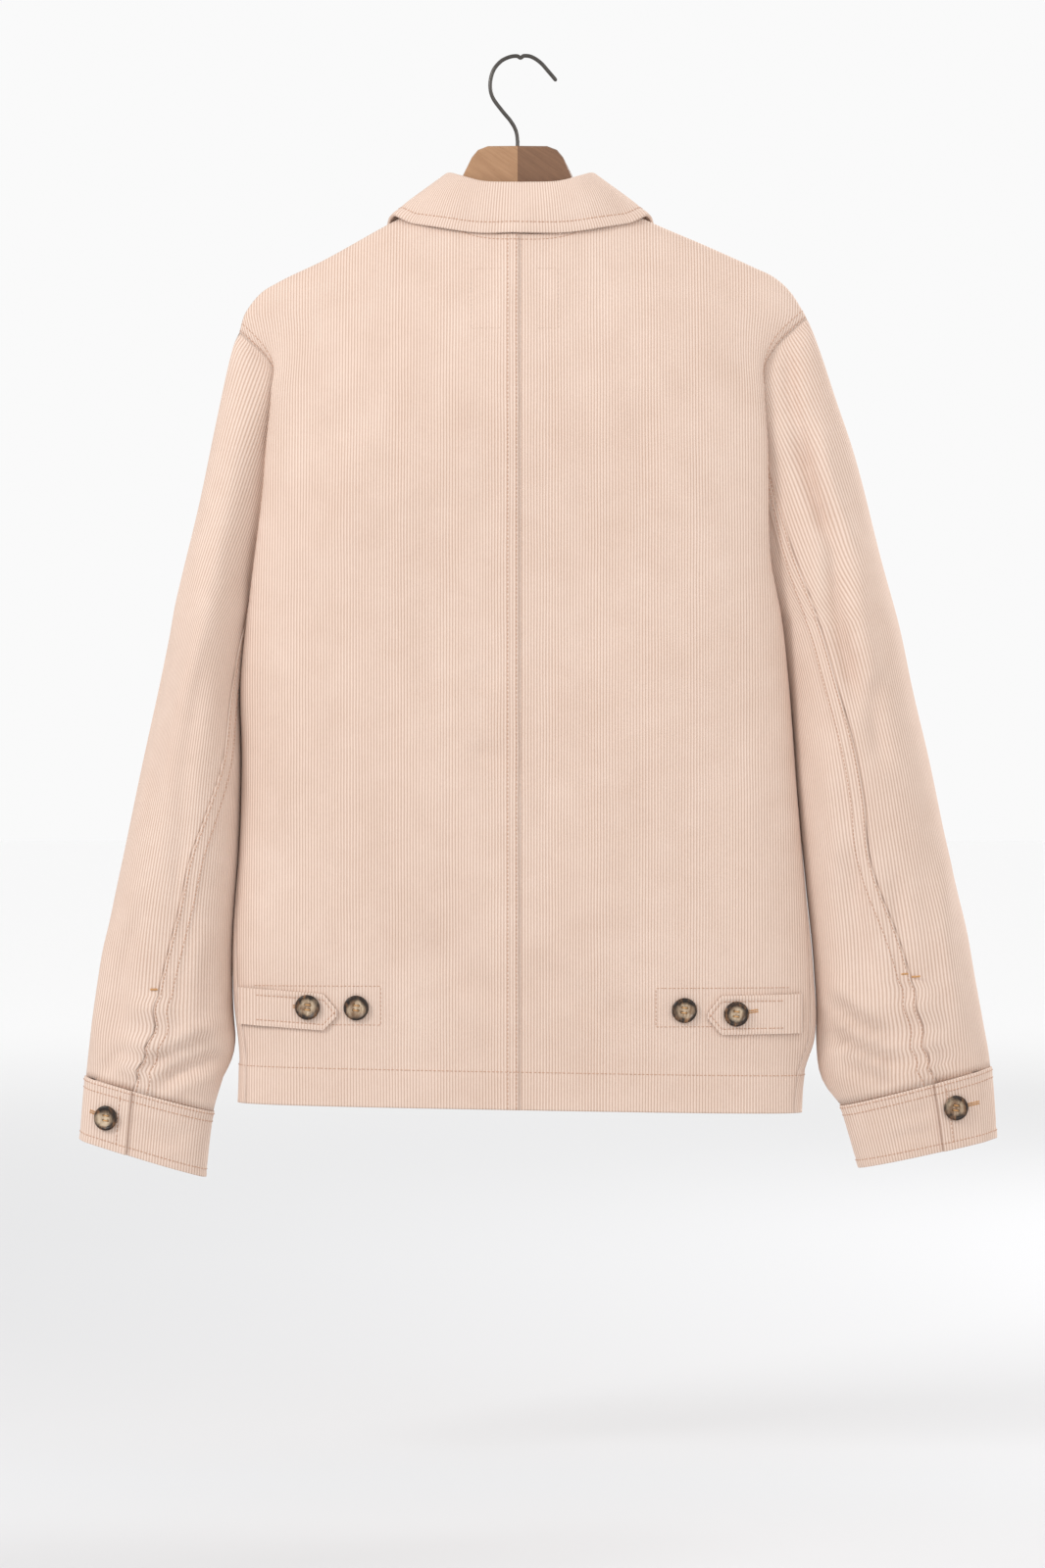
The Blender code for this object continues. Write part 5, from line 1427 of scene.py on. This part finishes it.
# %% Shader maths
class Value:
    """One socket of a node tree. Operators add Math, Vector Math or Mix nodes to the tree."""

    def __init__(self, tree, socket):
        self.tree = tree
        self.socket = socket

    def node(self, kind, settings, *inputs):
        """Adds a node: its settings first, because some change its sockets, and then its inputs."""
        made = self.tree.nodes.new(kind)
        for name, value in settings.items():
            setattr(made, name, value)
        for place, value in inputs:
            socket = made.inputs[place]
            if isinstance(value, Value):
                self.tree.links.new(value.socket, socket)
            else:
                socket.default_value = value
        return made

    def out(self, kind, settings, *inputs, output=0):
        """An output of a new node."""
        return Value(self.tree, self.node(kind, settings, *inputs).outputs[output])

    def math(self, operation, *others):
        """A Math node whose first input is this value."""
        return self.out("ShaderNodeMath", {"operation": operation}, *enumerate((self, *others)))

    def __add__(self, other):
        return self.math("ADD", other)

    def __sub__(self, other):
        return self.math("SUBTRACT", other)

    def __mul__(self, other):
        return self.math("MULTIPLY", other)

    def clamp(self):
        """This value kept between 0 and 1."""
        return self.out("ShaderNodeClamp", {}, (0, self))

    def step(self, low, high):
        """A smooth step from 0 at low to 1 at high."""
        settings = {"interpolation_type": "SMOOTHSTEP"}
        return self.out("ShaderNodeMapRange", settings, (0, self), (1, low), (2, high), (3, 0.0), (4, 1.0))

    def noise(self, scale, detail=2.0, rough=0.5):
        """Noise of this vector: about 0.5, with features of one over the scale."""
        inputs = (("Vector", self), ("Scale", scale), ("Detail", detail), ("Roughness", rough))
        return self.out("ShaderNodeTexNoise", {}, *inputs)

    def stretch(self, x, y, z):
        """This vector with its components multiplied."""
        return self.out("ShaderNodeVectorMath", {"operation": "MULTIPLY"}, (0, self), (1, (x, y, z)))

    def from_axis(self):
        """Distance of this vector from the z axis."""
        flat = self.stretch(1, 1, 0)
        return self.out("ShaderNodeVectorMath", {"operation": "LENGTH"}, (0, flat), output="Value")

    def part(self, name):
        """One component of a vector."""
        return self.out("ShaderNodeSeparateXYZ", {}, (0, self), output="XYZ".index(name))

    def mix(self, low, high):
        """A colour between low and high, with this value as the factor."""
        return self.out("ShaderNodeMix", {"data_type": "RGBA"}, (0, self), (6, low), (7, high), output=2)


def linear(red, green, blue):
    """A colour given in the 0 to 255 steps of a picture, as the linear RGBA that a shader needs."""
    share = np.array((red, green, blue)) / 255
    curve = np.where(share <= 0.04045, share / 12.92, ((share + 0.055) / 1.055) ** 2.4)
    return (*curve.tolist(), 1.0)


def new_material(name, **settings):
    """A material with its Principled node's constants set, and its tree's object and UV coordinates."""
    made = bpy.data.materials.new(name)
    made.use_nodes = True
    tree = made.node_tree
    shader = tree.nodes["Principled BSDF"]
    for socket, value in settings.items():
        shader.inputs[socket.replace("_", " ")].default_value = value
    coordinate = tree.nodes.new("ShaderNodeTexCoord")
    cloth = tree.nodes.new("ShaderNodeUVMap")
    cloth.uv_map = "cloth"
    return made, shader, Value(tree, coordinate.outputs["Object"]), Value(tree, cloth.outputs["UV"])


def connect(shader, **values):
    """Links values to the Principled node's inputs, named with _ for each space."""
    for socket, value in values.items():
        value.tree.links.new(value.socket, shader.inputs[socket.replace("_", " ")])


def bump(height, distance, strength=1.0):
    """A Bump node whose height is given in millimetres."""
    inputs = (("Strength", strength), ("Distance", distance * MM), ("Height", height))
    return height.out("ShaderNodeBump", {}, *inputs)


# %% [markdown]
# ## Corduroy
# Corduroy is woven with extra threads that are cut and brushed up into ribs, the wales. A camera sees a
# light velvet crest and a dark line between two crests. Here that dark line is painted shade: the colour is
# made darker in each groove, where shade falls, on top of the bump. The ribs run along the UV map's second
# axis. They are under a millimetre high, so they are bump and colour instead of geometry, and a broad noise
# gives the worn nap.

# %% Corduroy material
WALE_MM = 2.4
CREST = linear(235, 215, 202)
# The dark colour below is painted shade at the bottom of each groove between wales, and also the darker end of
# the nap's random tone.
DARK_NAP_AND_GROOVE_SHADE = linear(187, 157, 138)

corduroy, shader, place, cloth_uv = new_material(
    "corduroy", Roughness=0.95, Specular_IOR_Level=0.12, Sheen_Weight=0.35, Sheen_Roughness=0.45,
    Sheen_Tint=linear(255, 238, 226)
)
wander = (cloth_uv.stretch(40, 12, 1).noise(1.0, 2.0) - 0.5) * 0.55
turn = (cloth_uv.part("X") * (1 / (WALE_MM * MM)) + wander) * (2 * math.pi)
rib = turn.math("COSINE") * 0.5 + 0.5
crest = rib.math("POWER", 0.6)
pile = cloth_uv.stretch(1500, 420, 1).noise(1.0, 3.0, 0.65)
worn = place.noise(9.0, 4.0, 0.6)
patch = place.noise(38.0, 3.0, 0.6)
# Through crest, tone darkens the grooves, which is painted shade; pile, patch and worn are the nap's own random
# tone.
tone = (crest * 0.62 + pile * 0.28 + patch * 0.22 + worn * 0.3 - 0.32).clamp()
relief = bump(crest * 0.5 + pile * 0.22 + patch * 0.3, 1.0, 0.55)
connect(shader, Base_Color=tone.mix(DARK_NAP_AND_GROOVE_SHADE, CREST), Roughness=(pile * 0.12 + 0.86).clamp(), Normal=relief)

for name, *_ in SHEETS:
    bpy.data.objects[name].data.materials.append(corduroy)

# %% [markdown]
# ## Thread, horn, wood and wire
# Topstitching is the cloth's own colour, and buttonholes, bar tacks and button thread are tan. Horn is
# clouded: nearly black at the rim, cream and grey in the middle. The hanger's halves are cut from two
# boards, a lighter and a darker one, with their grain slanting. The wire is blackened steel.

# %% Other materials
THREAD_COLUMNS = ("name", "dark", "light", "roughness", "specular", "grain", "depth")
THREAD_ROWS = (
    ("thread_tonal", (172, 132, 108), (208, 172, 150), 0.8, 0.2, 1600.0, 0.15),
    ("thread_tan", (176, 122, 70), (222, 176, 122), 0.75, 0.25, 1500.0, 0.15),
    ("thread_pale", (206, 184, 168), (228, 208, 195), 0.85, 0.15, 1600.0, 0.1),
)
threads = []
for row in records(THREAD_COLUMNS, THREAD_ROWS):
    settings = {"Roughness": row.roughness, "Specular_IOR_Level": row.specular}
    thread, shader, place, _ = new_material(row.name, **settings)
    strand = place.noise(row.grain, 2.0)
    color = strand.mix(linear(*row.dark), linear(*row.light))
    connect(shader, Base_Color=color, Normal=bump(strand, row.depth))
    threads.append(thread)
tonal, tan, pale_thread = threads

horn, shader, place, _ = new_material(
    "button_horn", Roughness=0.45, Specular_IOR_Level=0.3, Coat_Weight=0.06, Coat_Roughness=0.25
)
seat = Value(place.tree, place.tree.nodes.new("ShaderNodeAttribute").outputs["Vector"])
seat.socket.node.attribute_name = "seat"
cloud = place.noise(95.0, 3.0, 0.6)
streak = place.stretch(1, 1, 0.35).noise(230.0, 4.0, 0.65)
lop_sided = place.noise(48.0, 1.0)
dark = (seat.from_axis() + (cloud - 0.5) * 0.9 + (lop_sided - 0.5) * 1.3).step(0.42, 0.82)
milk = (cloud * 0.5 + streak * 0.6).step(0.42, 0.68)
middle = milk.mix(linear(118, 90, 66), linear(198, 178, 152))
rim = streak.step(0.46, 0.7).mix(linear(34, 24, 17), linear(122, 86, 56))
connect(shader, Base_Color=dark.mix(middle, rim), Roughness=(streak * 0.15 + 0.25), Normal=bump(streak, 0.06))

GRAIN_SLANT = 0.6  # radians


def wood_material(name, light, deep):
    """Planed hardwood: fine streaks along a slanting grain, with broad bands of tone and small open pores."""
    made, shader, place, _ = new_material(
        name, Roughness=0.5, Specular_IOR_Level=0.4, Coat_Weight=0.1, Coat_Roughness=0.3
    )
    about_y = {"rotation_type": "Y_AXIS"}
    slant = place.out("ShaderNodeVectorRotate", about_y, ("Vector", place), ("Angle", GRAIN_SLANT))
    grain = slant.stretch(45, 160, 900).noise(1.0, 4.0, 0.6)
    band = slant.stretch(14, 60, 190).noise(1.0, 3.0, 0.6)
    pores = slant.stretch(220, 900, 2600).noise(1.0, 2.0).step(0.62, 0.74)
    tone = (grain * 0.6 + band * 0.75 - 0.2).clamp()
    color = (pores * 0.55).mix(tone.mix(deep, light), deep)
    relief = bump(grain * 0.6 - pores * 0.5, 0.12)
    connect(shader, Base_Color=color, Roughness=(grain * 0.2 + 0.38), Normal=relief)
    return made


WOODS = {
    "hanger_left": wood_material("wood_light", linear(188, 148, 112), linear(136, 96, 64)),
    "hanger_right": wood_material("wood_dark", linear(142, 104, 76), linear(88, 58, 38)),
}
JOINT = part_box("hanger_left")[0][0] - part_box("hanger_right")[1][0]
for name, wood in WOODS.items():
    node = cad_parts[name]
    # The halves are glued, so each fills its share of the gap that the solids have between them.
    glue = node.modifiers.new("glue", "DISPLACE")
    glue.direction = "X"
    glue.strength = -SIGN[name.split("_")[1]] * JOINT / 2
    glue.mid_level = 0
    node.data.materials.clear()
    node.data.materials.append(wood)

steel, shader, place, _ = new_material("wire", Metallic=0.9, Roughness=0.35)
scuff = place.noise(420.0, 4.0, 0.65)
color = scuff.mix(linear(62, 60, 58), linear(98, 94, 90))
connect(shader, Base_Color=color, Roughness=(scuff * 0.25 + 0.24), Normal=bump(scuff, 0.05))

FINISHES = (
    (STITCHES, tonal), ((faint_stitches,), pale_thread), ((tan_holes, tan_tacks, tan_bars), tan),
    (BUTTONS, horn), ((hook,), steel),
)
for group, finish in FINISHES:
    for made in group:
        made.data.materials.append(finish)
print("materials:", [material.name for material in bpy.data.materials])

# %% [markdown]
# ## The stage
# The jacket was photographed in front of a white wall in soft, even light. Here it hangs over a pale
# floor under a nearly white sky. A lamp on the left and a broad, weak one on the right light its back,
# and a third lights the front for the other views.

# %% Floor and light
FLOOR_HEIGHT = -1.15
FLOOR_REACH = 40.0
FLOOR_SIDES = 64
FLOOR_NEAR = 1.0  # distance from the jacket at which the floor starts to turn as pale as the sky
FLOOR_FAR = 7.0
# The far floor's colour is painted light: it is made as pale as the sky so that the floor's edge fades into it.
FLOOR_END_PAINTED_LIGHT = (0.985, 0.985, 0.985, 1)
SKY = 0.955

ring = np.linspace(0, 2 * math.pi, FLOOR_SIDES, endpoint=False)
points = [(FLOOR_REACH * math.cos(turn), FLOOR_REACH * math.sin(turn), FLOOR_HEIGHT) for turn in ring]
mesh = bpy.data.meshes.new("floor")
mesh.from_pydata(points, [], [list(range(FLOOR_SIDES))])
floor = bpy.data.objects.new("floor", mesh)
bpy.context.scene.collection.objects.link(floor)
pale, shader, place, _ = new_material("floor_with_painted_light", Roughness=0.9)
paint = place.noise(0.7).mix(linear(203, 203, 204), linear(206, 206, 207))
# The floor turns from grey near the jacket to nearly white far off. This is painted light, not a change of the
# floor's own colour.
connect(shader, Base_Color=place.from_axis().step(FLOOR_NEAR, FLOOR_FAR).mix(paint, FLOOR_END_PAINTED_LIGHT))
mesh.materials.append(pale)

world = bpy.data.worlds.new("studio")
bpy.context.scene.world = world
world.use_nodes = True
sky = world.node_tree.nodes["Background"]
sky.inputs["Color"].default_value = (1, 1, 1, 1)
sky.inputs["Strength"].default_value = SKY

LAMP_AIM = Vector((0, 0, -0.5))
LAMP_COLUMNS = ("name", "at", "size", "watts")
LAMP_ROWS = (
    ("key", (2.4, 2.0, 1.0), 1.1, 50),
    ("fill", (-1.6, 2.6, 0.4), 1.8, 18),
    ("front", (-2.2, -1.9, 0.7), 1.2, 52),
)
for lamp in records(LAMP_COLUMNS, LAMP_ROWS):
    light = bpy.data.lights.new(lamp.name, "AREA")
    light.size = lamp.size
    light.energy = lamp.watts
    made = bpy.data.objects.new(lamp.name, light)
    made.location = lamp.at
    made.rotation_mode = "QUATERNION"
    made.rotation_quaternion = (LAMP_AIM - Vector(lamp.at)).to_track_quat("-Z", "Y")
    bpy.context.scene.collection.objects.link(made)

# %% [markdown]
# ## The camera
# The photo is taken straight from behind with a long lens, at the height of the jacket's middle. The
# distance comes from the picture's scale, 0.79 mm for each pixel of its 1600 rows.

# %% Camera
PIXEL_MM = 0.79
PICTURE_ROWS = 1600
LENS_MM = 100.0
SENSOR_MM = 36.0
CAMERA_X = -0.0016
CAMERA_Z = -0.587

view = bpy.data.cameras.new("camera")
view.lens = LENS_MM
view.sensor_fit = "VERTICAL"
view.sensor_height = SENSOR_MM
view.clip_end = 100
camera = bpy.data.objects.new("camera", view)
distance = PIXEL_MM * PICTURE_ROWS * LENS_MM / SENSOR_MM * MM
bpy.context.scene.view_settings.view_transform = "Standard"
camera.location = (CAMERA_X, distance, CAMERA_Z)
camera.rotation_euler = (math.pi / 2, 0, math.pi)
bpy.context.scene.collection.objects.link(camera)
bpy.context.scene.camera = camera
print("camera distance:", round(distance, 3), "m")
